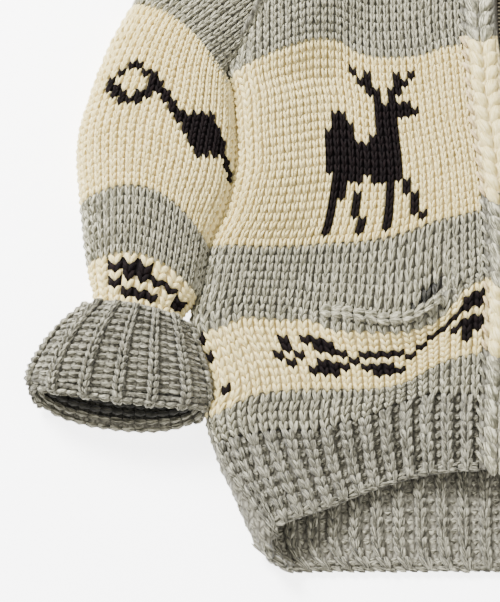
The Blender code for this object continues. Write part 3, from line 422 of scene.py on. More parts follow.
# %% [markdown]
# The cuff is a second, wider tube over the sleeve's end.  It is turned back, so its rings
# run down the outer face, over the fold at the mouth and up inside.

# %% Cuff surface
def cuff_point(i, turn):
    """Outer face of the turned-back cuff, then over the fold and up inside; i runs along
    the table's rings."""
    i, turn = np.broadcast_arrays(i, turn)
    ring = {k: read(CUFF, "i", k, i) for k in CUFF}
    sin, share = np.sin(turn), tube_reach(turn)
    lean = ring["lean_top"] * np.maximum(sin, 0) + ring["lean_under"] * np.maximum(-sin, 0)
    x = (ring["lx"] + ring["rx"]) / 2 + (ring["lx"] - ring["rx"]) / 2 * share - 0.2 * lean
    y = (ring["ly"] + ring["ry"]) / 2 + (ring["ly"] - ring["ry"]) / 2 * share + lean
    z = ring["base"] + (ring["top"] - ring["base"]) / 2 * (1 + tube_lift(turn))
    return np.stack([x, y, z], axis=-1)


print("cuff's mouth:", round(float(np.ptp(cuff_point(5.0, np.linspace(0, math.pi, 9))[:, 0]))),
      "mm wide")

# %% [markdown]
# The collar rises from the neck, turns over a fold and spreads.  Its spread part rests on
# what is below it, so the height of that is worked out first.

# %% Collar surface
def cover(half, y):
    """Height of what the collar lies on: fronts and bands, the shoulder, then the floor."""
    armhole = TIP_HALF + (TIP_Y - y) * 0.08
    high = np.minimum(level_height(half, y, armhole - ROLL - half), ARM_TOP)
    band = read(CENTRE, "y", "high", y) + BAND_RAISED
    high = np.maximum(high, band * (half < BAND_EDGE + 4) * (y < BAND_TOP + 6))
    past = shoulder_line(np.maximum(half, NECK_HALF)) - y + BRIDGE
    front_side = MID + (high - MID) * arc(past / SHOULDER_ROLL)
    beyond = MID * np.sqrt(np.clip(1 - (past / BRIDGE) ** 2, 0, 1))
    return np.where(past > 0, front_side, beyond) + GAP


def collar_point(a, b, depth=0.0):
    """Upper face of the collar's right half, or a face `depth` inside it.

    a runs round the neck from the zip to the middle of the back.  b climbs from the sewn
    edge (0 to 0.3), turns over the fold (0.3 to 0.6) and spreads to the outer edge (1).
    """
    a, b = np.broadcast_arrays(a, b)
    row = {k: read(COLLAR, "a", k, a) for k in COLLAR}
    out_x = -np.cos(np.radians(row["turn"]))
    out_y = np.sin(np.radians(row["turn"]))
    climb = np.clip(b / 0.3, 0, 1)
    over = np.clip((b - 0.3) / 0.3, 0, 1) * math.pi / 2
    spread = np.clip((b - 0.6) / 0.4, 0, 1)
    foot = row["crown"] - FOLD
    n = FOLD - (FOLD - depth) * np.cos(over) - CLOTH - SEAT + spread * row["wide"]
    x = row["nx"] + out_x * n
    y = row["ny"] + out_y * n
    rising = row["start"] + (foot - row["start"]) * climb + (FOLD - depth) * np.sin(over)
    line = row["crown"] + (row["edge"] - row["crown"]) * ease(spread)
    laid = cover(np.abs(x), y) + CLOTH + 2.0
    higher = 0.5 * (line + laid + np.sqrt((line - laid) ** 2 + 9.0))
    share = ease(spread / 0.4)
    z = np.where(b <= 0.6, rising, row["crown"] * (1 - share) + higher * share - depth)
    return np.stack([x, y, z], axis=-1)


print("collar's outer edge behind the neck:", collar_point(1.0, 1.0).round(1), "mm")

# %% [markdown]
# ## Wool
# Every soft finish here mixes three tones by a value and raises a small bump.  These are the
# parts that all of them share.

# %% Parts of a finish
def linear(rgb):
    """An sRGB colour of 0 to 255 as linear values with alpha."""
    s = np.array(rgb, dtype=float) / 255
    return (*np.where(s <= 0.04045, s / 12.92, ((s + 0.055) / 1.055) ** 2.4), 1.0)


def tones_of(tree, value, dark, middle, light, spread):
    """Three tones for values around one half, `spread` to each side."""
    ramp = tree.nodes.new("ShaderNodeValToRGB")
    first, last = ramp.color_ramp.elements
    first.position, first.color = 0.5 - spread, linear(dark)
    last.position, last.color = 0.5 + spread, linear(light)
    ramp.color_ramp.elements.new(0.5).color = linear(middle)
    tree.links.new(value, ramp.inputs["Fac"])
    return ramp.outputs["Color"]


def bumped(tree, shader, height, distance, strength=0.6):
    """Bump from a height, on the shader's normal."""
    bump = tree.nodes.new("ShaderNodeBump")
    bump.inputs["Strength"].default_value = strength
    bump.inputs["Distance"].default_value = distance
    tree.links.new(height, bump.inputs["Height"])
    tree.links.new(bump.outputs["Normal"], shader.inputs["Normal"])


def soft_shader(name, sheen):
    """A new material with a rough, slightly sheeny shader."""
    made = bpy.data.materials.new(name)
    made.use_nodes = True
    shader = made.node_tree.nodes["Principled BSDF"]
    shader.inputs["Roughness"].default_value = 0.88
    shader.inputs["Sheen Weight"].default_value = sheen
    shader.inputs["Sheen Roughness"].default_value = 0.5
    shader.inputs["Specular IOR Level"].default_value = 0.15
    return made, made.node_tree, shader


print("a cream of the shader:", np.round(linear((230, 211, 147)), 2))

# %% [markdown]
# Handspun wool is never one colour: its fibres lie along the strand in lighter and darker
# streaks, and the grey is two fleeces spun together.  One flat colour would look like
# plastic, and a picture would not follow every strand.  So a noise, stretched along the
# strand, mixes three tones.  It reads a UV map that runs along each strand in centimetres.

# %% Wool material
STREAK = (1.5, 5.0, 1.0)        # tone changes for a centimetre, along the strand and round it
HAIR = (9.0, 40.0, 1.0)         # the same for single fibres
TWIST = math.radians(24)        # the fibres wind round the strand
FUZZ = 0.0009                   # height of the fibres, in metres


def strand_noise(tree, scale, detail):
    """A noise read along the strands, turned by their twist."""
    uv = tree.nodes.new("ShaderNodeUVMap")
    uv.uv_map = "strand"
    mapping = tree.nodes.new("ShaderNodeMapping")
    mapping.inputs["Rotation"].default_value = (0.0, 0.0, TWIST)
    mapping.inputs["Scale"].default_value = scale
    noise = tree.nodes.new("ShaderNodeTexNoise")
    noise.inputs["Scale"].default_value = 1.0
    noise.inputs["Detail"].default_value = detail
    tree.links.new(uv.outputs["UV"], mapping.inputs["Vector"])
    tree.links.new(mapping.outputs["Vector"], noise.inputs["Vector"])
    return noise.outputs["Fac"]


def wool(name, dark, middle, light, spread, sheen=0.2):
    """Wool whose three tones lie in streaks along the strand."""
    made, tree, shader = soft_shader(name, sheen)
    tone = tones_of(tree, strand_noise(tree, STREAK, 3.0), dark, middle, light, spread)
    tree.links.new(tone, shader.inputs["Base Color"])
    bumped(tree, shader, strand_noise(tree, HAIR, 2.0), FUZZ)
    return made


print("streaks:", STREAK[0], "to a centimetre along the strand,", STREAK[1], "round it")

# %% [markdown]
# The shells under the stitches show only between them and from inside, where no stitch is
# modelled.  Their rows are drawn in the material: one wave for the two legs of a column and
# one for the rows, bent into a V, give the bump and a painted shade where the stitch is low.

# %% Cloth material
COLUMN_CM, ROW_CM = 0.85, 0.7


def worked(tree, operation, *values):
    """The output of a Math node on sockets or numbers."""
    node = tree.nodes.new("ShaderNodeMath")
    node.operation = operation
    for k, value in enumerate(values):
        if isinstance(value, float):
            node.inputs[k].default_value = value
        else:
            tree.links.new(value, node.inputs[k])
    return node.outputs[0]


def knitted(name, dark, middle, light):
    """Cloth with rows of Vs: height = sin(pi leg) sin(pi row), where leg is the distance
    from the column's middle and row runs along the cloth, held back by half a leg."""
    made, tree, shader = soft_shader(name, 0.15)
    uv = tree.nodes.new("ShaderNodeUVMap")
    uv.uv_map = "strand"
    parts = tree.nodes.new("ShaderNodeSeparateXYZ")
    tree.links.new(uv.outputs["UV"], parts.inputs["Vector"])
    column = worked(tree, "FRACT", worked(tree, "DIVIDE", parts.outputs["Y"], COLUMN_CM))
    middle_off = worked(tree, "ABSOLUTE", worked(tree, "SUBTRACT", column, 0.5))
    leg = worked(tree, "MULTIPLY", middle_off, 2.0)
    along = worked(tree, "DIVIDE", parts.outputs["X"], ROW_CM)
    row = worked(tree, "FRACT", worked(tree, "SUBTRACT", along, worked(tree, "MULTIPLY", leg, 0.5)))
    height = worked(tree, "MULTIPLY", worked(tree, "SINE", worked(tree, "MULTIPLY", leg, math.pi)),
                    worked(tree, "SINE", worked(tree, "MULTIPLY", row, math.pi)))
    streak = worked(tree, "MULTIPLY", strand_noise(tree, STREAK, 3.0), 0.9)
    # painted shade: the drawn stitches are darker where their height is low
    value = worked(tree, "ADD", worked(tree, "MULTIPLY", height, 0.3), streak)
    tree.links.new(tones_of(tree, value, dark, middle, light, 0.3), shader.inputs["Base Color"])
    bumped(tree, shader, height, 0.002)
    return made


print("a drawn stitch:", 10 * COLUMN_CM, "by", 10 * ROW_CM, "mm")

# %% [markdown]
# The yarns are numbered, so that a chart can be an array of numbers.  The cloth under each
# yarn is painted a little darker than it, as painted shade of the stitches over it.

# %% Yarns
CREAM_TONES = ((190, 172, 108), (230, 211, 147), (250, 236, 184))
GREY_TONES = ((86, 84, 68), (134, 130, 108), (202, 197, 172))
YARN = [
    wool("cream_wool", *CREAM_TONES, 0.16),
    wool("grey_wool", *GREY_TONES, 0.1),
    wool("brown_wool", (5, 2, 3), (11, 5, 6), (27, 16, 16), 0.16, 0.0),
    wool("tan_wool", (170, 142, 92), (208, 184, 136), (234, 214, 172), 0.16),
    # painted shade: the cloths are darker than their yarns, for the shade between the stitches
    knitted("cream_cloth", (150, 134, 84), (198, 180, 126), (230, 214, 168)),
    knitted("grey_cloth", (52, 50, 42), (94, 91, 80), (140, 137, 122)),
    wool("brown_cloth", (8, 5, 6), (14, 9, 10), (22, 15, 16), 0.16, 0.0),
    # painted shade: shaded_cloth is a near-black grey for the insides of the cuffs and a crease
    knitted("shaded_cloth", (18, 17, 15), (40, 39, 34), (72, 70, 62)),
    # painted shade: the rib grey is darker than the grey wool, for the shade on ribs and cuffs
    wool("rib_wool_painted_shade", (58, 56, 46), (102, 99, 84), (172, 168, 148), 0.1)]
CREAM, GREY, BROWN, TAN, SHADED, RIB_SHADED = 0, 1, 2, 3, 7, 8
UNDER = np.array([4, 5, 6, 4, 4, 5, 6, 7, 5])      # the cloth that lies under each yarn
print("wools:", ", ".join(made.name for made in YARN))

# %% [markdown]
# ## Meshes
# A piece's surface is cut into cells, one for each stitch.  A stitch is modelled once in a
# cell's own coordinates, and numpy copies it to all cells at once.  That keeps true yarn
# relief for a few dozen faces a stitch, where displacement would need millions.

# %% Mesh helpers
def normals_of(points):
    """Unit normals of a grid of points, first direction crossed with the second."""
    normal = np.cross(np.gradient(points, axis=0), np.gradient(points, axis=1))
    return normal / np.maximum(np.linalg.norm(normal, axis=-1, keepdims=True), 1e-9)


def to_frame(points):
    """Points in millimetres from the hem as metres in the shared frame."""
    out = np.asarray(points, dtype=np.float32) * MM
    out[..., 1] += HEM
    return out


def mesh_object(name, points, faces, tone, strand):
    """An object from points, quads, a yarn for each face and a UV for each face corner."""
    mesh = bpy.data.meshes.new(name)
    faces = np.asarray(faces, dtype=np.int32)
    used = np.unique(tone)
    mesh.vertices.add(len(points))
    mesh.vertices.foreach_set("co", to_frame(points).ravel())
    mesh.loops.add(faces.size)
    mesh.loops.foreach_set("vertex_index", faces.ravel())
    mesh.polygons.add(len(faces))
    mesh.polygons.foreach_set("loop_start", np.arange(len(faces), dtype=np.int32) * 4)
    for k in used:
        mesh.materials.append(YARN[k])
    mesh.polygons.foreach_set("material_index", np.searchsorted(used, tone).astype(np.int32))
    layer = mesh.uv_layers.new(name="strand")
    layer.uv.foreach_set("vector", np.asarray(strand, dtype=np.float32).ravel())
    mesh.update(calc_edges=True)
    mesh.validate()
    mesh.shade_smooth()
    made = bpy.data.objects.new(name, mesh)
    bpy.context.scene.collection.objects.link(made)
    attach(made, BODY)
    print(f"{name}: {2 * len(faces)} triangles")
    return made


# %% [markdown]
# One strand of a stitch is a spindle: three rings of six points between two poles.  Closed
# ends keep it solid where it dips between its neighbours.

# %% One stitch
RING_AT = np.array([0.13, 0.52, 0.88])      # places of the rings along the strand
RING_FULL = np.array([0.58, 1.04, 0.80])    # and how full it is there
ROUND = 6                                   # points of a ring


def strand(start, end, wide, deep, sink, arch=0.0):
    """Points (s, t, height, along, round) and quads of a spindle from start to end: an
    ellipse `wide` by `deep` round a line that dips by `sink` at both ends and bows
    sideways by `arch`."""
    along = np.concatenate([np.repeat(RING_AT, ROUND), [0.0, 1.0]])
    full = np.concatenate([np.repeat(RING_FULL, ROUND), [0.0, 0.0]])
    turn = np.concatenate([np.tile(np.arange(ROUND) * 2 * math.pi / ROUND, 3), [0.0, 0.0]])
    step = np.array(end, dtype=float) - start
    across = np.array([step[1], -step[0]]) / np.hypot(*step)
    side = np.sin(turn) * full
    s = start[0] + step[0] * along + across[0] * side * wide[0]
    t = start[1] + step[1] * along + across[1] * side * wide[1] + arch * np.sin(math.pi * along)
    high = np.cos(turn) * full * deep - sink * (1 - np.sin(math.pi * along))
    ring, k = np.meshgrid(np.arange(2), np.arange(ROUND), indexing="ij")
    here, after = ring * ROUND + k, ring * ROUND + (k + 1) % ROUND
    sides = np.stack([here, after, after + ROUND, here + ROUND], axis=-1).reshape(-1, 4)
    k = np.arange(0, ROUND, 2)
    low = np.stack([np.full(3, 3 * ROUND), (k + 2) % ROUND, k + 1, k], axis=-1)
    top = np.stack([k, k + 1, (k + 2) % ROUND, np.full(3, ROUND + 1)], axis=-1) + 2 * ROUND
    top[:, 3] = 3 * ROUND + 1
    return np.stack([s, t, high, along, turn], axis=-1), np.vstack([sides, low, top])


print("points of a strand:", len(strand((0.0, 0.0), (0.0, 1.0), (0.2, 0.2), 1.0, 0.0)[0]))

# %% [markdown]
# A knit stitch is two such strands in a V, and a purl stitch is one that lies across and
# bows.  Both come out of the same loop of yarn: knit is its front and purl its back.

# %% Knit and purl
def template(*strands):
    """Several strands as one stitch, with the number of its strand for each point."""
    count = len(strands[0][0])
    points = np.vstack([np.column_stack([one[0], np.full(count, k)])
                        for k, one in enumerate(strands)])
    return points, np.vstack([one[1] + k * count for k, one in enumerate(strands)])


def knit_v(wide=0.20, deep=2.5, foot=-0.56, head=0.92, apart=(0.01, 0.35), sink=1.5):
    """A knit stitch: two legs that part upwards."""
    return template(*[strand((side * apart[0], foot), (side * apart[1], head), (wide, wide),
                             deep, sink) for side in (-1.0, 1.0)])


def purl_bump(thick=0.42, deep=1.8, arch=-0.12):
    """A purl stitch: one short bowed strand across."""
    return template(strand((-0.62, 0.5), (0.62, 0.5), (thick, thick), deep, 0.8, arch))


print("faces of a knit stitch:", len(knit_v()[1]), "and of a purl stitch:", len(purl_bump()[1]))

# %% [markdown]
# Each point of the stitch goes to the same share of every cell, and stands off along the
# cell's own normal, so that the rows follow every bend of the cloth.  Small random shifts
# keep the hand-knitted look.

# %% All stitches of a piece
SHIFT = (0.02, 0.035)       # spread of the shifts across and along, in cells
PLUMP, RAISED = 0.07, 0.15  # spread of a stitch's plumpness, and of its height in mm


def cells_of(points):
    """Corners and corner normals of each cell of a grid, first direction across and second
    up: arrays (cells, 4, 3)."""
    low, high = slice(None, -1), slice(1, None)
    corners = [grid[a, b].reshape(-1, 3) for grid in (points, normals_of(points))
               for a, b in ((low, low), (high, low), (low, high), (high, high))]
    return np.stack(corners[:4], axis=1), np.stack(corners[4:], axis=1)


def stitches(name, corners, normals, tone, shape, slot, drop=0.0, loose=1.0):
    """All stitches of a piece as one mesh: each template point (s, t, h) goes to the
    cell's bilinear point at (s, t) plus h along its normal."""
    vertices, faces = shape
    count = len(corners)
    s, t, high, along, turn, leg = vertices.T
    s = s + SHIFT[0] * loose * random.standard_normal((count, 1))
    t = (t + SHIFT[1] * loose * random.standard_normal((count, 1)))[..., None]
    u = (s + 0.5)[..., None]
    weights = [(1 - u) * (1 - t), u * (1 - t), (1 - u) * t, u * t]
    place = sum(w * corners[:, None, k] for k, w in enumerate(weights))
    up = sum(w * normals[:, None, k] for k, w in enumerate(weights))
    up /= np.maximum(np.linalg.norm(up, axis=-1, keepdims=True), 1e-9)
    size = 1 + PLUMP * loose * random.standard_normal((count, 1))
    lift = high * size - drop + RAISED * loose * random.standard_normal((count, 1))
    points = place + up * lift[..., None]
    points[..., 2] = np.maximum(points[..., 2], 0.2)
    all_faces = (faces[None] + (np.arange(count) * len(vertices))[:, None, None]).reshape(-1, 4)
    long = np.linalg.norm(corners[:, 2] - corners[:, 0], axis=-1)[:, None] * 1.3
    start = random.uniform(0, 50, (count, 2, int(leg.max()) + 1))
    strand_uv = np.stack([along * long / 10 + start[:, 0, leg.astype(int)],
                          turn * 0.2 + start[:, 1, leg.astype(int)]], axis=-1)
    loops = strand_uv.reshape(-1, 2)[all_faces.ravel()]
    return mesh_object(name, points.reshape(-1, 3), all_faces, np.repeat(tone, len(faces)),
                       loops)


print("random shifts of a stitch, in cells:", SHIFT)

# %% [markdown]
# The shell is a closed wall: the surface moved in a little, its back further in, and quads
# round the rims.

# %% The cloth under the stitches
def shell(name, points, tone, slot, sunk=2.0, thick=4.6, closed=False, inner=None):
    """A closed wall of cloth from a grid: the grid moved in by `sunk`, and its back `thick`
    further in, joined along the edges.  `closed` joins the last row to the first."""
    normal = normals_of(points)
    outer = points - normal * sunk
    back = outer - normal * thick if inner is None else inner
    rows, columns = points.shape[:2]
    count = rows * columns
    index = np.arange(count).reshape(rows, columns)
    if closed:
        index = np.vstack([index, index[:1]])
    quads = np.stack([index[:-1, :-1], index[1:, :-1], index[1:, 1:], index[:-1, 1:]], axis=-1)
    quads = quads.reshape(-1, 4)
    # painted shade: each face takes the darker cloth that stands for the shade under its yarn
    tone = UNDER[tone].reshape(rows - 1 + closed, -1)
    rims = [(index[1:, 0], index[:-1, 0]), (index[:-1, -1], index[1:, -1])]
    sides = [tone[:, 0], tone[:, -1]]
    if not closed:
        rims += [(index[0, :-1], index[0, 1:]), (index[-1, 1:], index[-1, :-1])]
        sides += [tone[0], tone[-1]]
    rims = [np.stack([a, b, b + count, a + count], axis=-1) for a, b in rims]
    faces = np.vstack([quads, quads[:, ::-1] + count, *rims])
    tones = np.concatenate([tone.ravel(), tone.ravel(), *sides])
    both = np.vstack([outer.reshape(-1, 3), back.reshape(-1, 3)])
    return mesh_object(name, both, faces, tones, (both[:, [1, 0]] / 10)[faces.ravel()])


print("yarns with a cloth of their own under them:", len(set(UNDER.tolist())))

# %% [markdown]
# A garment's grid comes with its distance from the centre positive, and is placed on the
# right or the left.  Mirrored, it would be inside out, so it is turned to face upwards.

# %% Stitches on a placed grid
SLIM, SHORT = 0.35, 0.3     # share of the usual width and height below which a cell stays bare


def facing_up(points, *others):
    """The grid, and others cut like it, in the order that turns its normals upwards."""
    if normals_of(points)[..., 2].mean() < 0:
        return [one[::-1] for one in (points, *others)]
    return [points, *others]


def cloth(name, side, points, chart, slot, shape, **more):
    """Stitches on a grid with positive distance from the centre, and the grid and chart as
    placed.  The chart (columns, rows) gives each stitch's yarn; -1 leaves a cell out."""
    placed, chart = facing_up(lie(points * (side, 1, 1)), chart)
    corners, normals = cells_of(placed)
    tone = chart.ravel()
    wide = np.linalg.norm(corners[:, 1] - corners[:, 0], axis=-1)
    high = np.linalg.norm(corners[:, 2] - corners[:, 0], axis=-1)
    keep = (tone >= 0) & (wide > SLIM * np.median(wide)) & (high > SHORT * np.median(high))
    made = stitches(name, corners[keep], normals[keep], tone[keep], shape, slot, **more)
    return made, placed, chart


print("cells narrower than", SLIM, "of the usual width stay bare")

# %% [markdown]
# Edges of the knitting are cast off: a row of Vs lies along the edge like a plait.  The
# same plait makes the pocket's lip, the fold of the cuffs and the sewing of the bands.

# %% A plait along an edge
def line_steps(line, pitch):
    """Steps of equal length, about `pitch`, along a line of points, as places in it."""
    length = np.concatenate([[0], np.cumsum(np.linalg.norm(np.diff(line, axis=0), axis=1))])
    count = max(int(round(length[-1] / pitch)), 1)
    return np.interp(np.linspace(0, length[-1], count + 1), length, np.arange(len(line)))


def plait(name, side, one, other, tone, slot, pitch, shape, **more):
    """A row of stitches between two lines of points with positive distance from the
    centre.  `tone` is a yarn or a function of the points."""
    at = line_steps((one + other) / 2, pitch)
    lines = [np.stack([np.interp(at, np.arange(len(line)), line[:, k]) for k in range(3)], -1)
             for line in (one, other)]
    placed, = facing_up(lie(np.stack(lines) * (side, 1, 1)))
    corners, normals = cells_of(placed)
    tones = tone(corners.mean(axis=1)) if callable(tone) else np.full(len(corners), tone)
    return stitches(name, corners, normals, tones, shape, slot, **more)


EDGE_V = knit_v(0.27, 2.9, -0.2, 1.0, (0.10, 0.30), 1.2)
print("faces of a stitch of a plait:", len(EDGE_V[1]))

# %% [markdown]
# ## Camera
# A long lens two metres above the garment, tilted a little towards the hem, keeps its
# proportions true, as in a picture taken from a ladder.

# %% Camera
TARGET = (-0.2067, -0.1464, 0.025)
TILT, DISTANCE, WIDE = math.radians(16.0), 2.0, 0.4696
camera_data = bpy.data.cameras.new("camera")
camera_data.sensor_fit = "VERTICAL"
camera_data.sensor_height = 36.0
camera_data.lens = 36.0 * DISTANCE / WIDE
camera = bpy.data.objects.new("camera", camera_data)
camera.location = (TARGET[0], TARGET[1] - DISTANCE * math.sin(TILT),
                   TARGET[2] + DISTANCE * math.cos(TILT))
camera.rotation_euler = (TILT, 0.0, 0.0)
bpy.context.scene.collection.objects.link(camera)
bpy.context.scene.camera = camera
print("camera lens in mm:", round(camera_data.lens, 1))

# %% [markdown]
# ## Fronts
# The colour changes follow the knitted rows, and the rows wander a little up and down across
# a front.  Each line of a change is a table of heights across the front, and the rows
# between two lines share the height.

# %% Rows of the fronts
FRONT_COLUMNS = dict(low=(26, 2.8), high=(33, 3.5))     # in all, and on the turned side
ROW = 7.0
FIRST_CREAM = table("part y", [
    (0, 117), (.06, 119), (.12, 126), (.19, 134), (.42, 140), (.585, 140), (.70, 143),
    (.74, 146), (.77, 150), (.80, 154), (.83, 158), (.90, 164), (1, 169)])
FIRST_CREAM_TOP = table("part y", [
    (0, 182), (.12, 186), (.225, 196), (.44, 196), (.50, 188), (.60, 185), (.70, 184),
    (.77, 186), (.83, 191), (.877, 202), (.905, 213), (.94, 222), (1, 228)])
POCKET_ROW = table("part y", [
    (0, 198), (.12, 201), (.2, 207), (.36, 208), (.46, 203.5), (.52, 203), (.60, 200),
    (.68, 196.5), (.76, 198.5), (.83, 209), (.90, 226), (1, 236)])
SECOND_CREAM = table("part y", [
    (0, 254), (.2, 253), (.3, 255), (.47, 260), (.56, 261), (.65, 264.5), (.74, 271), (.82, 278),
    (.91, 282), (1, 286)])
SECOND_CREAM_TOP = table("part y", [
    (0, 390), (.03, 393), (.12, 405), (.21, 414), (.30, 422), (.38, 428), (.47, 430), (.56, 421),
    (.65, 417), (.74, 417), (.82, 418), (.91, 424), (1, 426)])
FRONT_BLOCKS = (4, 9, 2, 7, 23, 28)     # rows between the lines, from the rib up
STARTS = np.concatenate([[0], np.cumsum(FRONT_BLOCKS)])
POCKET_START = STARTS[3]
print("rows of a front above its rib:", STARTS[-1])

# %% [markdown]
# Columns share the level width evenly, and the turned side takes a few of its own.  The
# front is worked with more columns above the pocket than below it.

# %% Columns of the fronts
def front_column(col, level):
    """c of a column's line: 0 to 1 on the turned side and 1 to 2 on the level part."""
    columns, turned = FRONT_COLUMNS[level]
    return np.where(col < turned, col / turned, 1 + (col - turned) / (columns - turned))


print("columns of a front:", *(f"{level} {count[0]}" for level, count in FRONT_COLUMNS.items()))

# %% [markdown]
# The inlays are charts, as a knitter draws them: # is a brown stitch.  A standing stag with
# antlers and a spray of leaves are old favourites of this craft.  They are laid over the
# stripes, lowest row first.

# %% Charts of the fronts
STAG = """
    ....#.#...#.#
    .....##...##.
    ......##.##..
    .......#.#...
    .......#####.
    .......######
    .##....###...
    .###...###...
    ####..####...
    ##########...
    ##########...
    ##########...
    ##########...
    .####.####...
    .##.....#.#..
    .##.#...#.#..
    .#..#...#..#.
    .#..#...#..#.
    .#...#..#..#.
    .#...#..#...#"""
LEAVES = """
    .................##
    .#.###........#####
    .#..###.####.#.....
    #.#....#....#...###
    .#..###.###......##
    ...###...###.....#."""
LONE_STITCHES = ((0, 8), (0, 6), (1, 2))        # column, and row above the first change


print("rows of the stag:", len(STAG.split()), "and of the leaves:", len(LEAVES.split()))

# %% [markdown]
# A chart becomes an array with the number of a yarn for each stitch.  The stripes fill it
# first, then the drawings go in, as an inlay does over plain rows.

# %% Yarns of a front
def inlay(chart, drawing, column, row):
    """Put a drawing into a chart of yarns in brown, its lower left stitch at the place."""
    rows = [line.strip() for line in drawing.strip().splitlines()]
    marks = np.array([[mark == "#" for mark in line] for line in rows[::-1]]).T
    part = chart[column:column + marks.shape[0], row:row + marks.shape[1]]
    part[marks[:part.shape[0], :part.shape[1]]] = BROWN


def front_chart(level):
    """Yarn of every stitch of a front, columns from the side seam."""
    chart = np.full((FRONT_COLUMNS[level][0], STARTS[-1]), GREY)
    chart[:, STARTS[1]:STARTS[2]] = CREAM
    chart[:, STARTS[4]:STARTS[5]] = CREAM
    if level == "high":
        inlay(chart, STAG, 13, STARTS[4] + 1)
        # painted shadow: these front stitches by the slit's inner end are dark, for the crease's
        # shade
        chart[25:27, POCKET_START] = chart[26:28, POCKET_START + 1] = SHADED   # in the mouth
        return chart
    inlay(chart, LEAVES, 7, STARTS[1] + 2)
    for column, row in LONE_STITCHES:
        chart[column, STARTS[1] + row] = BROWN
    return chart


print("brown stitches of a front:", sum((front_chart(k) == BROWN).sum() for k in FRONT_COLUMNS))

# %% [markdown]
# Below the underarm the columns share the width of the front.  Above it they run straight
# up, and the armhole and the neckline cut across them.

# %% Place of a stitch on a front
CHEST_EDGE = float(read(SIDE, "y", "half", UNDERARM_Y))
ARM_LINE = armhole_at(np.linspace(0.0, 1.0, 200), below=False)


def front_x(c, edge):
    """Distance from the centre at c where the front's side is at `edge`."""
    seam_x = edge - ROLL * (1 - np.cos(np.clip(c, 0, 1) * math.pi / 2))
    return np.where(c < 1, seam_x, edge - ROLL + (BAND_EDGE - edge + ROLL) * (c - 1))


def front_rows(c, row):
    """Y of a point of the stitch grid: lines of colour change, with rows shared between."""
    part = part_of(c)
    top = shoulder_line(np.maximum(front_x(c, CHEST_EDGE), NECK_HALF))
    lines = [read(ACROSS, "part", "rib", part) + 0.4, read(FIRST_CREAM, "part", "y", part),
             read(FIRST_CREAM_TOP, "part", "y", part), read(POCKET_ROW, "part", "y", part),
             read(SECOND_CREAM, "part", "y", part), read(SECOND_CREAM_TOP, "part", "y", part), top]
    y = lines[0]
    for k, count in enumerate(FRONT_BLOCKS):
        y = y + (lines[k + 1] - lines[k]) * np.clip((row - STARTS[k]) / count, 0, 1)
    return y


print("a front's side at the underarm:", round(CHEST_EDGE, 1), "mm from the centre")

# %% [markdown]
# Below the underarm the side turns from the side seam to level.  Above it the height grows
# out of the armhole's, and gives way to the shoulder's at the tip.

# %% Surface under the stitches of a front
def front_place(c, y):
    """Outer face of a front at c and a height."""
    edge = read(SIDE, "y", "half", y)
    seam = np.radians(read(SEAM, "y", "turn", y))
    turn = seam + (math.pi / 2 - seam) * np.clip(c, 0, 1)
    low_x = np.where(c < 1, edge - ROLL * (1 - np.cos(turn)), front_x(c, edge))
    side_high = read(SIDE, "y", "high", y)
    low_high = level_height(low_x, y, edge - ROLL - low_x)
    low_z = np.where(c < 1, side_high / 2 * (1 + np.sin(turn)), low_high)
    arm_x = np.interp(y, ARM_LINE[:, 1], ARM_LINE[:, 0])
    arm_z = np.interp(y, ARM_LINE[:, 1], ARM_LINE[:, 2])
    inner = np.where(y < BAND_TOP, BAND_EDGE, neckline(y))
    x = np.clip(front_x(c, CHEST_EDGE), inner, arm_x)
    top_y = np.minimum(y, shoulder_line(x))
    level = arm_x - ROLL
    bend = np.arccos(np.clip(1 - (arm_x - x) / ROLL, 0, 1))
    high = level_height(x, top_y, level - x)
    z = arm_z + (high - arm_z) * np.sin(bend)
    rise = np.clip((y - UNDERARM_Y) / (TIP_Y - UNDERARM_Y), 0, 1)
    blend = 1 - (1 - ease(bend / (math.pi / 2))) * (1 - rise ** SHOULDER_TIP)
    down = arc((shoulder_line(x) - top_y) / SHOULDER_ROLL)
    z = z * (1 - blend) + (MID + (z - MID) * down) * blend
    upper = y > UNDERARM_Y
    return np.stack([np.where(upper, x, low_x), np.where(upper, top_y, y),
                     np.where(upper, z, low_z) + GAP], axis=-1)


print("a front's middle at the underarm:", front_place(1.5, UNDERARM_Y).round(1), "mm")

# %% [markdown]
# ### The pocket's mouth
# The rows below the slit stand up and draw back from it, and the cloth above sinks into the
# mouth towards the centre.

# %% Pocket mouth
HOLLOW = dict(x=72.0, y=220.0, wide=9.5, high=20.0, deep=9.0)
PUCKER = dict(x=56.0, y=228.0, wide=7.0, high=20.0, deep=-5.0)
SWELL_OUT, SWELL_IN = 0.35, 0.14        # shares of the slit over which the lip rises
GAPE, GAPE_FADE = 0.35, 20.0            # share of the solid's gape, and its depth in mm


def slit_height(x):
    """Y of the slit at a distance from the centre."""
    level = read(SIDE, "y", "half", 200.0) - ROLL
    return read(ACROSS, "part", "slit", part_of(1 + (level - x) / (level - BAND_EDGE)))


def lip(points, slit_y):
    """Rows below the pocket's slit stand up and draw back from it."""
    out = points.copy()
    share = (SLIT_FROM - points[..., 0]) / (SLIT_FROM - SLIT_TO)
    swell = ease(share / SWELL_OUT) * ease((1 - share) / SWELL_IN)
    below = slit_y - points[..., 1]
    gape = GAPE * LIP_OPEN * swell * share * (1 - np.clip(below / GAPE_FADE, 0, 1))
    out[..., 2] += LIP_LIFT * swell * (1 - ease(below / LIP_FADE))
    out[..., 0] += gape
    out[..., 1] -= gape
    return out


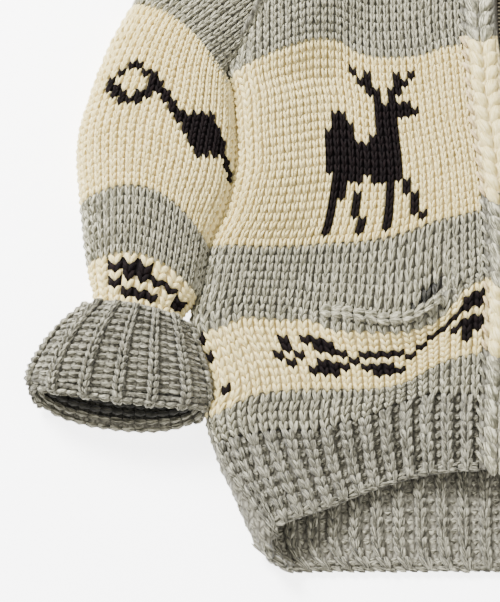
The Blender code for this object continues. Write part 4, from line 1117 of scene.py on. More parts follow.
def hollow(points):
    """The cloth above the slit sinks like a bell curve round the hollow's middle, and
    rises in a small fold beside it."""
    out = points.copy()
    for bell in (HOLLOW, PUCKER):
        away = ((points[..., 0] - bell["x"]) / bell["wide"]) ** 2
        away = away + ((points[..., 1] - bell["y"]) / bell["high"]) ** 2
        out[..., 2] -= bell["deep"] * np.exp(-away)
    return out


print("slit:", slit_height(SLIT_FROM).round(), "mm up at the side and",
      slit_height(SLIT_TO).round(), "mm at its inner end")

# %% [markdown]
# Each front is two cloths, because the slit parts it.  A plait is worked along the slit's
# lower edge, where a knitter casts off.

# %% Fronts
def front(side, word):
    """One front: the part below the slit, the part above it, and a shell for each."""
    for level, first, end, flat, area in (
            ("low", 0, POCKET_START, (0.22, 0.11), None),
            ("high", POCKET_START, STARTS[-1], (0.22, 0.43), 0.075)):
        chart = front_chart(level)
        col, row = np.meshgrid(np.arange(len(chart) + 1.0), np.arange(first, end + 1.0),
                               indexing="ij")
        c = front_column(col, level)
        points = front_place(c, front_rows(c, row))
        points = lip(points, slit_height(points[..., 0])) if level == "low" else hollow(points)
        made, placed, tones = cloth(f"front_stitches_{level}_{word}", side, points,
                                    chart[:, first:end], "cream", knit_v(), drop=0.7)
        if level == "low":
            pocket_lip(side, word)
        base = shell(f"front_cloth_{level}_{word}", placed, tones, "cream")
        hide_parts(f"front_{word}")


def pocket_lip(side, word):
    """A plait along the lower edge of the slit."""
    x = np.linspace(SLIT_FROM + 3, SLIT_TO + 5, 60)
    lines = []
    for off in (4.0, -7.5):
        y = slit_height(x) + off
        level = read(SIDE, "y", "half", y) - ROLL
        points = np.stack([x, y, level_height(x, y, level - x) + GAP], axis=-1)
        lines.append(lip(points, y - off))
    return plait(f"pocket_lip_{word}", side, *lines, GREY, "grey", 8.6, EDGE_V, drop=-1.2)


front(-1, "right")
front(1, "left")

# %% [markdown]
# ## Ribs
# A rib is a column of knit stitches beside a narrow sunk column of purl bumps.  The same
# two stitches make it, in columns of two widths.

# %% Rib helpers
FRONT_RIBS, BACK_RIBS, RIB_STITCH_ROWS = 14, 15, 8
RIB_V = knit_v(0.25, 2.7, -0.52, 0.96, (0.08, 0.31), 1.3)


def rib_columns(count, knit_share, purls=1):
    """Column lines of `count` ribs from 0 to 1: each a knit column, then its purl ones."""
    start = np.arange(count)[:, None] + np.append(0, np.linspace(knit_share, 1, purls + 1)[:-1])
    return np.append(start.ravel(), count) / count


def ribbed(name, side, points, tone, slot, purl_drop=3.4):
    """Stitches of a rib: knit Vs in the even columns and bumps in the odd ones."""
    odd = np.broadcast_to((np.arange(points.shape[0] - 1) % 2 == 1)[:, None],
                          (points.shape[0] - 1, points.shape[1] - 1))
    return [cloth(f"{name}_{word}", side, points, np.where(odd == purl, tone, -1), slot, shape,
                  drop=drop)[0]
            for word, purl, shape, drop in (("knit", False, RIB_V, -0.7),
                                            ("purl", True, purl_bump(), purl_drop))]


def plain_shell(name, side, points, tone, slot, **more):
    """A shell of one yarn from a grid with positive distance from the centre."""
    placed, = facing_up(lie(points * (side, 1, 1)))
    return shell(name, placed, np.full(np.array(placed.shape[:2]) - 1, tone), slot, **more)


print("columns of a front's rib:", len(rib_columns(FRONT_RIBS, 0.70)) - 1)

# %% [markdown]
# A front's rib ends in two plaits, where the knitter cast off along the hem and picked up
# the side.

# %% Front ribs
def front_rib(side, word):
    """Ribbed lower edge of a front, cast off along the hem and the side."""
    part, row = np.meshgrid(rib_columns(FRONT_RIBS, 0.70), np.arange(RIB_STITCH_ROWS + 1.0),
                            indexing="ij")
    c = np.where(part < TURN_PART, part / TURN_PART, 1 + (part - TURN_PART) / (1 - TURN_PART))
    points = front_point(c, row / RIB_STITCH_ROWS * 0.95 - 0.95)
    made = ribbed(f"front_rib_{word}", side, points, RIB_SHADED, "grey")
    c = np.linspace(0.0, 2.0, 120)
    made.append(plait(f"front_hem_edge_{word}", side, front_point(c, -0.90),
                      front_point(c, -1.02), RIB_SHADED, "grey", 8.0, EDGE_V, drop=0.6))
    up = np.linspace(-1.0, 0.0, 40)
    made.append(plait(f"front_rib_side_{word}", side, front_point(0.16, up),
                      front_point(-0.02, up), RIB_SHADED, "grey", 8.0, EDGE_V, drop=0.4))
    row, c = np.meshgrid(np.linspace(-1, 0, RIB_STITCH_ROWS + 1), np.linspace(0, 2, 40))
    base = plain_shell(f"front_rib_cloth_{word}", side, front_point(c, row), RIB_SHADED, "grey",
                       sunk=3.6, thick=3.2)
    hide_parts(f"front_hem_rib_{word}")


front_rib(-1, "right")
front_rib(1, "left")

# %% [markdown]
# The back's rib lies flat, and its inner face shows under the fronts' higher hem.  So its
# stitches stand on the inner face, and only the turned sides have some outside.

# %% Faces of the back's rib
INNER_FACE = 5.4        # from the outer face of the back's rib to the inner one
OFF_FLOOR = 2.5         # stitches lower than this would be pressed into the floor


def inner_rib(u, v):
    """Inner face of the back's rib, above its outer face: straight up from a line, and
    along the normals of a grid."""
    outer = hem_point(u, v)
    if outer.ndim < 3:
        return outer + (0, 0, INNER_FACE)
    normal = normals_of(outer)
    return outer + normal * np.where(normal[..., 2:].mean() > 0, INNER_FACE, -INNER_FACE)


def rib_side(side, word):
    """Stitches on the turned side of the back's rib, outside."""
    u, v = np.meshgrid(np.linspace(0.0, 0.16, 5), np.linspace(0, 1, 10), indexing="ij")
    placed = lie(hem_point(u, v) * (side, 1, 1))
    if normals_of(placed)[0, :, 0].mean() * side < 0:
        placed = placed[::-1]
    corners, normals = cells_of(placed)
    keep = corners[..., 2].mean(axis=1) > OFF_FLOOR
    return stitches(f"back_rib_side_{word}", corners[keep], normals[keep],
                    np.full(keep.sum(), RIB_SHADED), knit_v(), "grey", drop=1.2)


print("height of the back rib's inner face:", inner_rib(1.0, 0.5)[2].round(1), "mm")

# %% [markdown]
# The two halves of the rib are worked out from the centre, and one shell joins them.

# %% Back rib
def back_rib():
    """Stitches on the inner face in two halves, an edge along the hem, and one shell."""
    u, v = np.meshgrid(rib_columns(BACK_RIBS, 0.62), np.linspace(0.96, 0, 13), indexing="ij")
    made = []
    for side, word in ((-1, "right"), (1, "left")):
        made += ribbed(f"back_rib_{word}", side, inner_rib(u, v), RIB_SHADED, "grey", purl_drop=1.8)
        along = np.linspace(0.06, 1.0, 120)
        made.append(plait(f"back_hem_edge_{word}", side, inner_rib(along, 0.92) - (0, 0, 1.0),
                          inner_rib(along, 1.02) - (0, 0, 2.0), RIB_SHADED, "grey", 8.0, EDGE_V,
                          drop=0.0))
        made.append(rib_side(side, word))
    u, v = np.meshgrid(np.linspace(0, 1, 31), np.linspace(1, 0, 14), indexing="ij")
    outer = hem_point(u, v)
    whole = np.concatenate([lie(outer * (-1, 1, 1)), lie(outer[-2::-1])], axis=0)
    tones = np.full((whole.shape[0] - 1, whole.shape[1] - 1), RIB_SHADED)
    base = shell("back_rib_cloth", whole, tones, "grey", sunk=0.0, thick=-4.4)
    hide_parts("back_hem_rib")


back_rib()

# %% [markdown]
# ## Back
# The back lies on the floor.  Only its turned sides show beside the fronts, so only they
# get stitches.

# %% Back
BACK_STRIPES = ((117, 182), (254, 390))


def striped(y):
    """Cream between the back's colour changes, grey elsewhere."""
    cream = sum(((y > low) & (y < high)) for low, high in BACK_STRIPES) > 0
    return np.where(cream, CREAM, GREY)


def back():
    """The whole back as one cloth, with stitches on its turned sides."""
    c = np.concatenate([np.linspace(-1, 0, 6), np.linspace(0, 1, 16)[1:]])
    bow = (1 - np.cos(np.linspace(0, math.pi, 22)[1:])) / 2
    r = np.concatenate([np.linspace(0, 1, 44), 1 + bow])
    grid_c, grid_r = np.meshgrid(c, r, indexing="ij")
    outer = back_point(grid_c, grid_r)
    whole = np.concatenate([lie(outer * (-1, 1, 1)), lie(outer[-2::-1])], axis=0)
    base = shell("back_cloth", whole, striped(whole[:-1, :-1, 1]), "cream", sunk=0.0, thick=-6.6)
    for side, word in ((-1, "right"), (1, "left")):
        col, row = np.meshgrid(np.linspace(-1, 0.0, 6), np.linspace(0, 1, 44), indexing="ij")
        placed = lie(back_point(col, row) * (side, 1, 1))
        chart = striped(placed[:-1, :-1, 1] + 3)
        if normals_of(placed)[..., 0].mean() * side < 0:
            placed, chart = placed[::-1], chart[::-1]
        corners, normals = cells_of(placed)
        keep = corners[..., 2].mean(axis=1) > OFF_FLOOR
        stitches(f"back_side_stitches_{word}", corners[keep], normals[keep],
                             chart.ravel()[keep], knit_v(), "cream", drop=1.2)
    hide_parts("back")


back()

# %% [markdown]
# ## Sleeves
# A sleeve is a tube.  It is knitted from the cuff up, with few wide columns in the patterned
# band above the cuff and more, narrower ones after it.

# %% Columns and rows of a sleeve
LOW_COLUMNS, SLEEVE_COLUMNS = 18, 44        # round the band above the cuff, and after it
LOW_ROWS, GREY_ROWS, CREAM_ROWS, TOP_ROWS = 9, 7, 25, 30
def even_turns(surface, count):
    """Turns that cut the ring surface(turn) into `count` equal lengths."""
    turn = np.linspace(0, 2 * math.pi, 721)
    return np.interp(line_places(surface(turn), count), np.arange(721), turn)


def even_rows(surface, start, end, count):
    """Places between start and end that cut the line surface(i) into equal lengths."""
    i = np.linspace(start, end, 200)
    return np.interp(line_places(surface(i), count), np.arange(200), i)


def line_places(line, count):
    """Places in a line of points that cut it into `count` equal lengths."""
    length = np.concatenate([[0], np.cumsum(np.linalg.norm(np.diff(line, axis=0), axis=1))])
    return np.interp(np.linspace(0, length[-1], count + 1), length, np.arange(len(line)))


print("rows of a sleeve:", LOW_ROWS + GREY_ROWS + CREAM_ROWS + TOP_ROWS)

# %% [markdown]
# Above the underarm each column runs straight on to the armhole.  Its height there is read
# from a fine sample of the surface, at the nearest point seen from above.

# %% Rows above the underarm
def straight_on(turns):
    """Rows above the underarm ring, a row's height apart on straight lines to the armhole."""
    first, last = sleeve_point(7.0, turns), sleeve_point(10.0, turns)
    away = np.linalg.norm(last - first, axis=-1)
    share = np.clip(ROW * np.arange(1, TOP_ROWS) / np.maximum(away, 1e-6)[:, None], 0, 1)
    points = first[:, None] + (last - first)[:, None] * share[..., None]
    for half, sign in ((np.sin(turns) > 0.02, 1), (np.sin(turns) < -0.02, -1)):
        i, turn = np.meshgrid(np.linspace(7, 10, 150), np.arccos(np.linspace(1, -1, 260)) * sign,
                              indexing="ij")
        sample = sleeve_point(i, turn).reshape(-1, 3)
        for k in np.flatnonzero(half):
            gap = ((points[k, :, None, :2] - sample[None, :, :2]) ** 2).sum(axis=-1)
            points[k, :, 2] = sample[gap.argmin(axis=1), 2]
    return points


print("rows on a line above the underarm:", straight_on(np.array([math.pi / 2])).shape[1])

# %% [markdown]
# The sleeve presses against the body, so its inner side swells a little.  The grids cut it
# into stitches of equal size, as its knitter's even tension does.

# %% Sleeve grids
REACH = 6.0             # how far the inner side swells towards the body


def reach(points, turn, i):
    """The sleeve's inner side swells towards the body, most at its middle."""
    out = points.copy()
    middle = ease(i / 1.5) * ease((8.5 - i) / 2)
    out[..., 0] -= REACH * np.clip(-np.cos(turn), 0, 1) ** 2 * middle
    return out


def sleeve_grids():
    """Stitch grids of a sleeve as points, with their turns and rows: the band above the
    cuff, and the rest."""
    def top(i):
        return sleeve_point(i, math.pi / 2)
    low_i = even_rows(top, 0.0, 2.0, LOW_ROWS)
    low_turns = even_turns(lambda turn: sleeve_point(1.0, turn), LOW_COLUMNS)
    high_i = np.concatenate([even_rows(top, 2.0, 3.0, GREY_ROWS),
                             even_rows(top, 3.0, 7.0, CREAM_ROWS)[1:]])
    turns = even_turns(lambda turn: sleeve_point(4.0, turn), SLEEVE_COLUMNS)
    high = reach(sleeve_point(high_i[None, :], turns[:, None]), turns[:, None], high_i[None, :])
    high = np.concatenate([high, straight_on(turns)], axis=1)
    low = reach(sleeve_point(low_i[None, :], low_turns[:, None]), low_turns[:, None],
                low_i[None, :])
    return low, high, low_turns, turns, low_i, high_i


print("stitch grids of a sleeve:", *(grid.shape[:2] for grid in sleeve_grids()[:2]))

# %% [markdown]
# A long-necked bird flies up the sleeve, and waves run round above the cuff.  Both are old
# motifs of this craft, and each is drawn where it starts at the sleeve's outer edge.

# %% Charts of a sleeve
BIRD = """
    .....##...............
    ....#..##.............
    ...#....##......#.....
    ...##...###....###....
    ....##.##.##..#####...
    .....###...########...
    ............########..
    .............#####.##.
    ..............###...#.
    ...............#......"""
WAVES = """
    ..###....
    ...####..
    ..#....#.
    ...###.#."""


def sleeve_charts():
    """Yarns of the two grids of a sleeve."""
    low = np.full((LOW_COLUMNS, LOW_ROWS), CREAM)
    inlay(low, WAVES, 0, 4)
    high = np.full((SLEEVE_COLUMNS, GREY_ROWS + CREAM_ROWS + TOP_ROWS - 1), GREY)
    high[:, GREY_ROWS:GREY_ROWS + CREAM_ROWS] = CREAM
    inlay(high, BIRD, 0, GREY_ROWS + 8)
    return low, high


print("brown stitches of a sleeve:", sum((chart == BROWN).sum() for chart in sleeve_charts()))

# %% [markdown]
# The shell's own grid is coarser than the stitches, so each of its faces takes the yarn of
# the stitch above it.  Near the floor it isn't sunk, or it would be too thin there.

# %% The cloth of a sleeve
def under_tones(turn, i, charts, low, high):
    """Yarn of the stitch over each face of a sleeve's shell."""
    turn = turn[:, :i.shape[1]]
    out = np.full(i.shape, GREY)
    places = (low, i < 2), (high, (i >= 2) & (i < 7))
    for chart, ((turns, rows), inside) in zip(charts, places):
        column = np.clip(np.searchsorted(turns, turn) - 1, 0, chart.shape[0] - 1)
        row = np.clip(np.searchsorted(rows, i) - 1, 0, chart.shape[1] - 1)
        out = np.where(inside, chart[column, row], out)
    return out


def sunk_by(points, most):
    """How deep a shell lies under its solid's face: `most`, but nothing at the floor."""
    return (most * ease(points[..., 2] / 8.0))[..., None]


def sleeve_shell(side, word, charts, low, high):
    """The cloth of one sleeve, whole: low and high are its stitch grids' turns and rows."""
    rings = np.concatenate([np.linspace(0, 7, 64), np.linspace(7, 10, 16)[1:]])
    cloth_turns = even_turns(lambda t: sleeve_point(4.0, t), 60)[:-1]
    grid_t, grid_i = np.meshgrid(cloth_turns, rings, indexing="ij")
    around = lie(reach(sleeve_point(grid_i, grid_t), grid_t, grid_i) * (side, 1, 1))
    tones = under_tones(grid_t + math.pi / 60, grid_i[:, :-1] + np.diff(rings) / 2, charts,
                        low, high)
    if side > 0:
        around, tones = around[::-1], np.roll(tones[::-1], -1, axis=0)
    return shell(f"sleeve_cloth_{word}", around, tones, "cream", closed=True,
                 sunk=sunk_by(around, 2.0))


print("depth of a sleeve's shell at the floor:", float(sunk_by(np.zeros((1, 3)), 2.0)[0, 0]))

# %% [markdown]
# None of a sleeve's stitches is made where it rests on the floor, because nobody sees them
# there and they would be pressed flat.

# %% Sleeves
FACES_DOWN = -0.5       # a stitch whose normal's height is lower than this faces the floor
SHORTEST = 2.5          # rows that the armhole cuts shorter than this are left out


def sleeve(side, word):
    """One sleeve's cloth and stitches; none are made where it rests on the floor."""
    low, high, low_turns, turns, low_i, high_i = sleeve_grids()
    charts = sleeve_charts()
    for level, points, chart in (("low", low, charts[0]), ("high", high, charts[1])):
        placed = lie(points * (side, 1, 1))
        if side > 0:
            placed, chart = placed[::-1], chart[::-1]
        corners, normals = cells_of(placed)
        tall = np.linalg.norm(corners[:, 2] - corners[:, 0], axis=-1)
        keep = (tall > SHORTEST) & (normals[..., 2].mean(axis=1) > FACES_DOWN)
        stitches(f"sleeve_stitches_{level}_{word}", corners[keep], normals[keep],
                               chart.ravel()[keep], knit_v(), "cream", drop=0.7)
    base = sleeve_shell(side, word, charts, (low_turns, low_i), (turns, high_i))
    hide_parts(f"sleeve_{word}")


sleeve(-1, "right")
sleeve(1, "left")

# %% [markdown]
# ## Cuffs
# The cuffs are ribbed and turned back, so the fold makes a thick mouth.  Inside it the
# sleeve's end shows, its colour darkened as painted shade.

# %% Stitches of a cuff
CUFF_RIBS = 13
MOUTH, LIP_END, INSIDE_END = 5.0, 6.4, 8.0      # rings where the mouth and the inside end
CUFF_REACH = 4.0                                # how far it swells towards the body
CUFF_V = knit_v(0.26, 2.9, -0.42, 0.86, (0.12, 0.34), 1.4)


def cuff_at(i, turn):
    """A cuff's outer face, swollen a little towards the body."""
    points = cuff_point(i, turn).copy()
    points[..., 0] -= CUFF_REACH * np.clip(-np.cos(turn), 0, 1) ** 2
    return points


def cuff_rows(name, side, turns, rows, kinds, tone, shape, drop):
    """Stitches in the columns of the given kinds (their number modulo three)."""
    turn, i = np.meshgrid(turns, rows, indexing="ij")
    placed = lie(cuff_at(i, turn) * (side, 1, 1))
    kind = np.broadcast_to((np.arange(len(turns) - 1) % 3)[:, None],
                           (len(turns) - 1, len(rows) - 1))
    if side > 0:
        placed, kind = placed[::-1], kind[::-1]
    corners, normals = cells_of(placed)
    keep = np.isin(kind.ravel(), kinds) & (normals[..., 2].mean(axis=1) > FACES_DOWN)
    return stitches(name, corners[keep], normals[keep], np.full(keep.sum(), tone), shape, "grey",
                    drop=drop)


print("mouth of a cuff at its top:", cuff_at(MOUTH, math.pi / 2).round(1), "mm")

# %% [markdown]
# Rows of Vs and bumps cover the outer face, a plait marks the fold, and bumps go a little
# way up inside, where the mouth shows them, in a dark yarn that is painted shade.

# %% Cuffs
def cuff(side, word):
    """The turned-back ribbed cuff, its fold at the mouth and the sleeve's end inside."""
    count = 3 * CUFF_RIBS
    turns = even_turns(lambda turn: cuff_at(2.5, turn), count)
    turns = np.interp(rib_columns(CUFF_RIBS, 0.36, 2) * count, np.arange(count + 1), turns)
    rows = even_rows(lambda i: cuff_at(i, math.pi / 2), 0.0, MOUTH, 15)[::-1]
    for kind, kinds, shape, drop in (("knit", (0,), CUFF_V, -0.3),
                                     ("purl", (1, 2), purl_bump(0.40, 2.0), 1.9)):
        cuff_rows(f"cuff_{kind}_{word}", side, turns, rows, kinds, RIB_SHADED, shape, drop)
    rows = even_rows(lambda i: cuff_at(i, 1.5 * math.pi), MOUTH, LIP_END, 4)[::-1]
    turns = even_turns(lambda turn: cuff_at(4.5, turn), 32)
    # painted shade: the rows inside the mouth get the dark shaded_cloth
    for kind, part, tone in (("lip", rows[-3:], RIB_SHADED), ("inside", rows[:3], SHADED)):
        cuff_rows(f"cuff_{kind}_{word}", side, turns, part, (0, 1, 2), tone,
                              purl_bump(0.44, 2.0, 0.1), 0.3)
    turn = np.linspace(-0.5, math.pi + 0.5, 90)
    plait(f"cuff_edge_{word}", side, cuff_at(4.5, turn),
                      cuff_at(5.15, turn), RIB_SHADED, "grey", 8.4, EDGE_V, drop=-0.8)
    ring_turns = even_turns(lambda turn: cuff_at(2.5, turn), 84)[:-1]
    rows = np.concatenate([np.linspace(MOUTH, INSIDE_END, 10)[::-1][:-1],
                           even_rows(lambda i: cuff_at(i, math.pi / 2), 0.0, MOUTH, 10)[::-1]])
    turn, i = np.meshgrid(ring_turns, rows, indexing="ij")
    around = lie(cuff_at(i, turn) * (side, 1, 1))
    if side > 0:
        around = around[::-1]
    # painted shade: the shell inside the mouth is dark shaded_cloth, outside the darkened rib grey
    tones = np.where(i[:, 1:] > 5.5, SHADED, RIB_SHADED)
    base = shell(f"cuff_cloth_{word}", around, tones, "grey", sunk=sunk_by(around, 2.6),
                 thick=4.2, closed=True)
    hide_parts(f"cuff_{word}")


cuff(-1, "right")
cuff(1, "left")

# %% [markdown]
# ## Bands
# Each front edge has a band: one column of very large knit stitches in the colours of the
# fronts, sewn on with tan yarn.

# %% Yarns of the bands
BAND_PITCH = 11.5
BAND_V = knit_v(0.21, 3.6, -0.55, 0.98, (0.10, 0.29), 1.6)
SEAM_STITCH = template(strand((0.42, 0.0), (-0.42, 0.86), (0.2, 0.2), 1.3, 0.9))
BAND_CREAM = ((172.0, 226.0), (293.0, 430.0))


def band_tone(points):
    """Cream where the fronts beside the band are cream, grey elsewhere."""
    y = points[..., 1]
    return np.where(sum((y > low) & (y < high) for low, high in BAND_CREAM) > 0, CREAM, GREY)


def sewing_tone(points):
    """Tan yarn beside cream, grey beside grey."""
    return np.where(band_tone(points) == CREAM, TAN, GREY)


print("a stitch of a band:", BAND_PITCH, "mm long")

# %% [markdown]
# A band is a flat cloth with one column of Vs on it.  The sewing is a row of slanted
# stitches over the seam.

# %% Front bands
def front_band(side, word):
    """A band: a flat cloth, one column of large stitches on it, and its sewing."""
    y = np.arange(75.0, BAND_TOP - 1, BAND_PITCH)
    x, along = np.meshgrid([32.5, 6.0], y, indexing="ij")
    points = np.stack([x, along, read(CENTRE, "y", "high", along) + GAP], axis=-1)
    tones = band_tone(points[:-1, :-1] + (0, BAND_PITCH / 2, 0))
    made, _, _ = cloth(f"band_stitches_{word}", side, points, tones, "cream", BAND_V, drop=0.4)
    y = np.linspace(78.0, BAND_TOP - 4, 100)
    lines = [np.stack([np.full_like(y, x), y, read(CENTRE, "y", "high", y) + 1.6], axis=-1)
             for x in (BAND_EDGE + 2.6, BAND_EDGE - 4.0)]
    sewing = plait(f"band_sewing_{word}", side, *lines, sewing_tone, "cream", BAND_PITCH,
                   SEAM_STITCH)
    x, along = np.meshgrid(np.linspace(BAND_EDGE - GAP, 5.4, 6),
                           np.append(np.arange(75.0, BAND_TOP - 1, 7.0), BAND_TOP - GAP),
                           indexing="ij")
    points = np.stack([x, along, read(CENTRE, "y", "high", along) + GAP], axis=-1)
    placed, = facing_up(lie(points * (side, 1, 1)))
    base = shell(f"band_cloth_{word}", placed, band_tone(placed[:-1, :-1]), "cream", sunk=0.4,
                 thick=6.0)
    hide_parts(f"front_band_{word}")


front_band(-1, "right")
front_band(1, "left")

# %% [markdown]
# ## Collar
# Wide lapel parts at both sides and one part behind the neck, in grey.

# %% Collar
def collar_cloth(name, node, first, last, columns, sides):
    """A collar part between two places round the neck, mirrored or across the middle."""
    a, b = np.meshgrid(np.linspace(first, last, columns + 1), np.linspace(0.03, 1.0, 17),
                       indexing="ij")
    points, inner = collar_point(a, b, 1.8), collar_point(a, b, 6.6)
    if len(sides) == 2:
        points = np.concatenate([lie(points * (-1, 1, 1)), lie(points[-2::-1])], axis=0)
        inner = np.concatenate([lie(inner * (-1, 1, 1)), lie(inner[-2::-1])], axis=0)
    else:
        points, inner = lie(points * (sides[0], 1, 1)), lie(inner * (sides[0], 1, 1))
    points, inner = facing_up(points, inner)
    tones = np.full((points.shape[0] - 1, points.shape[1] - 1), GREY)
    corners, normals = cells_of(points)
    made = stitches(f"{name}_stitches", corners, normals, tones.ravel(), knit_v(), "grey",
                    drop=-0.2)
    base = shell(name, points, tones, "grey", sunk=0.0, inner=inner)
    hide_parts(node)


collar_cloth("collar_cloth_right", "collar_right", 0.0, COLLAR_SEAM - 0.001, 24, (-1,))
collar_cloth("collar_cloth_left", "collar_left", 0.0, COLLAR_SEAM - 0.001, 24, (1,))
collar_cloth("collar_cloth_back", "collar_back", COLLAR_SEAM + 0.001, 1.0, 14, (-1, 1))

# %% [markdown]
# ## Pocket lining
# A plain grey cloth behind each slit, seen only through the mouth.

# %% Pocket lining
def pocket_lining(side, word):
    """The lining just under a front, up to a little past its slit."""
    x, share = np.meshgrid(np.linspace(SLIT_FROM + 3, SLIT_TO - 3, 13), np.linspace(0, 1, 15),
                           indexing="ij")
    start = POCKET["y"] - 46
    y = start + (slit_height(x) + 5.0 - start) * share
    z = level_height(x, y, read(SIDE, "y", "half", y) - ROLL - x) - CLOTH - 0.9
    points = hollow(np.stack([x, y, z], axis=-1))
    points[..., 2] = np.maximum(points[..., 2], 4.0)
    made, placed, tones = cloth(f"lining_stitches_{word}", side, points,
                                np.full((12, 14), GREY), "grey", knit_v(0.27, 1.2), drop=0.6)
    base = shell(f"lining_cloth_{word}", placed, tones, "grey", sunk=1.2, thick=1.8)
    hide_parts(f"pocket_lining_{word}")


pocket_lining(-1, "right")
pocket_lining(1, "left")

# %% [markdown]
# ## Zip
# The teeth are cast metal on a woven tape.  Cast metal is dull and a little uneven, and the
# tape shows its weave.

# %% Zip finishes
def metal(name, tone, rough):
    """Dull cast metal: fine noise in its bump, uneven tone."""
    made = bpy.data.materials.new(name)
    made.use_nodes = True
    tree = made.node_tree
    shader = tree.nodes["Principled BSDF"]
    shader.inputs["Metallic"].default_value = 1.0
    shader.inputs["Roughness"].default_value = rough
    place = tree.nodes.new("ShaderNodeTexCoord")
    noise = tree.nodes.new("ShaderNodeTexNoise")
    noise.inputs["Scale"].default_value = 900.0
    tree.links.new(place.outputs["Object"], noise.inputs["Vector"])
    tones = tones_of(tree, noise.outputs["Fac"], [0.6 * k for k in tone], tone,
                     [min(1.15 * k, 255) for k in tone], 0.3)
    tree.links.new(tones, shader.inputs["Base Color"])
    bumped(tree, shader, noise.outputs["Fac"], 0.0002, 0.4)
    return made


def woven(name, dark, light):
    """Twill tape: two waves along its length and across make a woven bump and tone."""
    made, tree, shader = soft_shader(name, 0.1)
    place = tree.nodes.new("ShaderNodeTexCoord")
    height = None
    for axis, scale in (("X", 700.0), ("Y", 560.0)):
        wave = tree.nodes.new("ShaderNodeTexWave")
        wave.bands_direction = axis
        wave.inputs["Scale"].default_value = scale
        tree.links.new(place.outputs["Object"], wave.inputs["Vector"])
        height = wave.outputs["Fac"] if height is None else worked(
            tree, "MULTIPLY", height, wave.outputs["Fac"])
    middle = [(a + b) / 2 for a, b in zip(dark, light)]
    tree.links.new(tones_of(tree, height, dark, middle, light, 0.5), shader.inputs["Base Color"])
    bumped(tree, shader, height, 0.0004)
    return made


TOOTH_METAL = metal("zip_metal", (176, 166, 142), 0.42)
TAPE = woven("zip_tape", (92, 88, 78), (150, 145, 132))
print("zip finishes:", TOOTH_METAL.name, "and", TAPE.name)

# %% [markdown]
# The zip is closed up to the slider.  Each tooth is a block with a bevelled top, and the
# teeth of the two sides alternate, so one block is copied along the centre line.

# %% Zip teeth
TOOTH_PITCH = 3.2                       # between the teeth of one side
TOOTH = (4.4, 1.35, 2.6)                # across, along and high
TEETH_FROM, TEETH_TO = 78.6, 518.0
TOOTH_BASE, TOOTH_OFF = 1.6, 1.1        # below the cloth's inner face, and off the middle


def zip_teeth():
    """Teeth of both sides: a box with a smaller top, copied along the centre line."""
    x, y = np.array([-1, 1, 1, -1]) / 2, np.array([-1, -1, 1, 1]) / 2
    rings = [np.stack([x * TOOTH[0] * k, y * TOOTH[1] * k, np.full(4, h * TOOTH[2])], -1)
             for k, h in ((1.0, 0.0), (1.0, 0.7), (0.72, 1.0))]
    one = np.vstack(rings)
    k = np.arange(4)
    sides = [np.stack([k, (k + 1) % 4, (k + 1) % 4 + 4, k + 4], -1) + 4 * r for r in (0, 1)]
    faces = np.vstack([*sides, [[3, 2, 1, 0]], [[8, 9, 10, 11]]])
    at = np.arange(TEETH_FROM, TEETH_TO, TOOTH_PITCH / 2)
    side = np.where(np.arange(len(at)) % 2, 1.0, -1.0)
    high = read(CENTRE, "y", "high", at) - CLOTH - TOOTH_BASE
    centre = np.stack([side * TOOTH_OFF, at, high], axis=-1)
    points = lie(centre)[:, None] + one[None]
    all_faces = (faces[None] + (np.arange(len(at)) * 12)[:, None, None]).reshape(-1, 4)
    made = mesh_object("zip_teeth", points.reshape(-1, 3), all_faces,
                       np.full(len(all_faces), GREY), np.zeros((all_faces.size, 2)))
    made.data.materials.clear()
    made.data.materials.append(TOOTH_METAL)
    made.data.shade_flat()
    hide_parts("zip_chain")


zip_teeth()

# %% [markdown]
# The slider, its pull and the tapes keep the solids' own shape, so they only get a finish.

# %% Finish of the zip's solids
FINISHES = dict(zip_slider=TOOTH_METAL, zip_pull=TOOTH_METAL, zip_tape_left=TAPE,
                zip_tape_right=TAPE)
for node, finish in FINISHES.items():
    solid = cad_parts[node]
    solid.data.materials.clear()
    solid.data.materials.append(finish)
print("finished solids:", ", ".join(FINISHES))

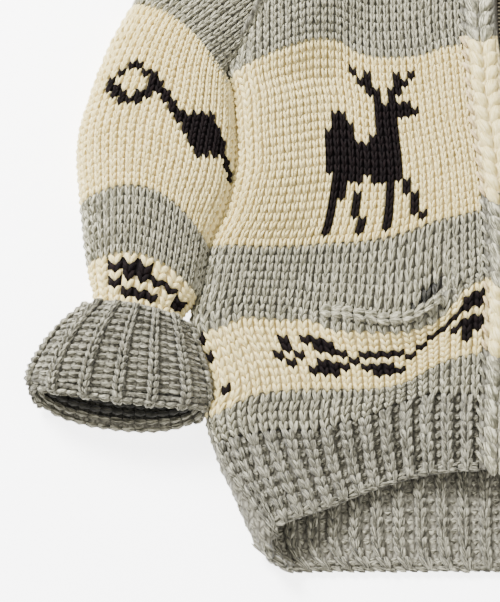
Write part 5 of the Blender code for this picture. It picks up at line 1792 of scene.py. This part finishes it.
# %% [markdown]
# ## Floor and light
# The cardigan lies on a plain sheet of paper, as in a studio.  A little light of its own
# keeps the paper white, where a grey floor would pull the eye off the wool.

# %% Floor
FLOOR_HALF = 6.0        # metres from the middle to its edges
floor_mesh = bpy.data.meshes.new("floor")
floor_mesh.from_pydata([(x * FLOOR_HALF, y * FLOOR_HALF, 0) for x, y in
                        ((-1, -1), (1, -1), (1, 1), (-1, 1))], [], [(0, 1, 2, 3)])
floor = bpy.data.objects.new("floor", floor_mesh)
bpy.context.scene.collection.objects.link(floor)
paper = bpy.data.materials.new("paper")
paper.use_nodes = True
paper_shader = paper.node_tree.nodes["Principled BSDF"]
paper_shader.inputs["Base Color"].default_value = (0.95, 0.95, 0.95, 1)
paper_shader.inputs["Roughness"].default_value = 0.9
paper_shader.inputs["Emission Color"].default_value = (1.0, 1.0, 1.0, 1)
paper_shader.inputs["Emission Strength"].default_value = 4.0
floor_mesh.materials.append(paper)
print("floor:", 2 * FLOOR_HALF, "m wide")

# %% [markdown]
# One soft lamp high on the left draws the stitches' relief, and a weaker, wider one on the
# right opens the shades.

# %% Lamps
def softbox(name, place, aim, size, power):
    """A square area lamp that faces `aim`."""
    data = bpy.data.lights.new(name, "AREA")
    data.shape = "SQUARE"
    data.size = size
    data.energy = power
    lamp = bpy.data.objects.new(name, data)
    lamp.location = place
    direction = np.array(aim, dtype=float) - np.array(place, dtype=float)
    lamp.rotation_euler = (math.acos(-direction[2] / np.linalg.norm(direction)), 0.0,
                           math.atan2(direction[1], direction[0]) - math.pi / 2)
    bpy.context.scene.collection.objects.link(lamp)
    print(name, "lamp:", power, "W")


softbox("key", (-1.25, 1.05, 1.3), (-0.1, -0.1, 0.0), 0.7, 165.0)
softbox("fill", (1.6, -0.8, 1.9), (-0.1, -0.1, 0.0), 1.8, 34.0)
world = bpy.data.worlds.new("room")
world.use_nodes = True
world.node_tree.nodes["Background"].inputs["Color"].default_value = (1.0, 0.99, 0.97, 1.0)
world.node_tree.nodes["Background"].inputs["Strength"].default_value = 1.0
bpy.context.scene.world = world
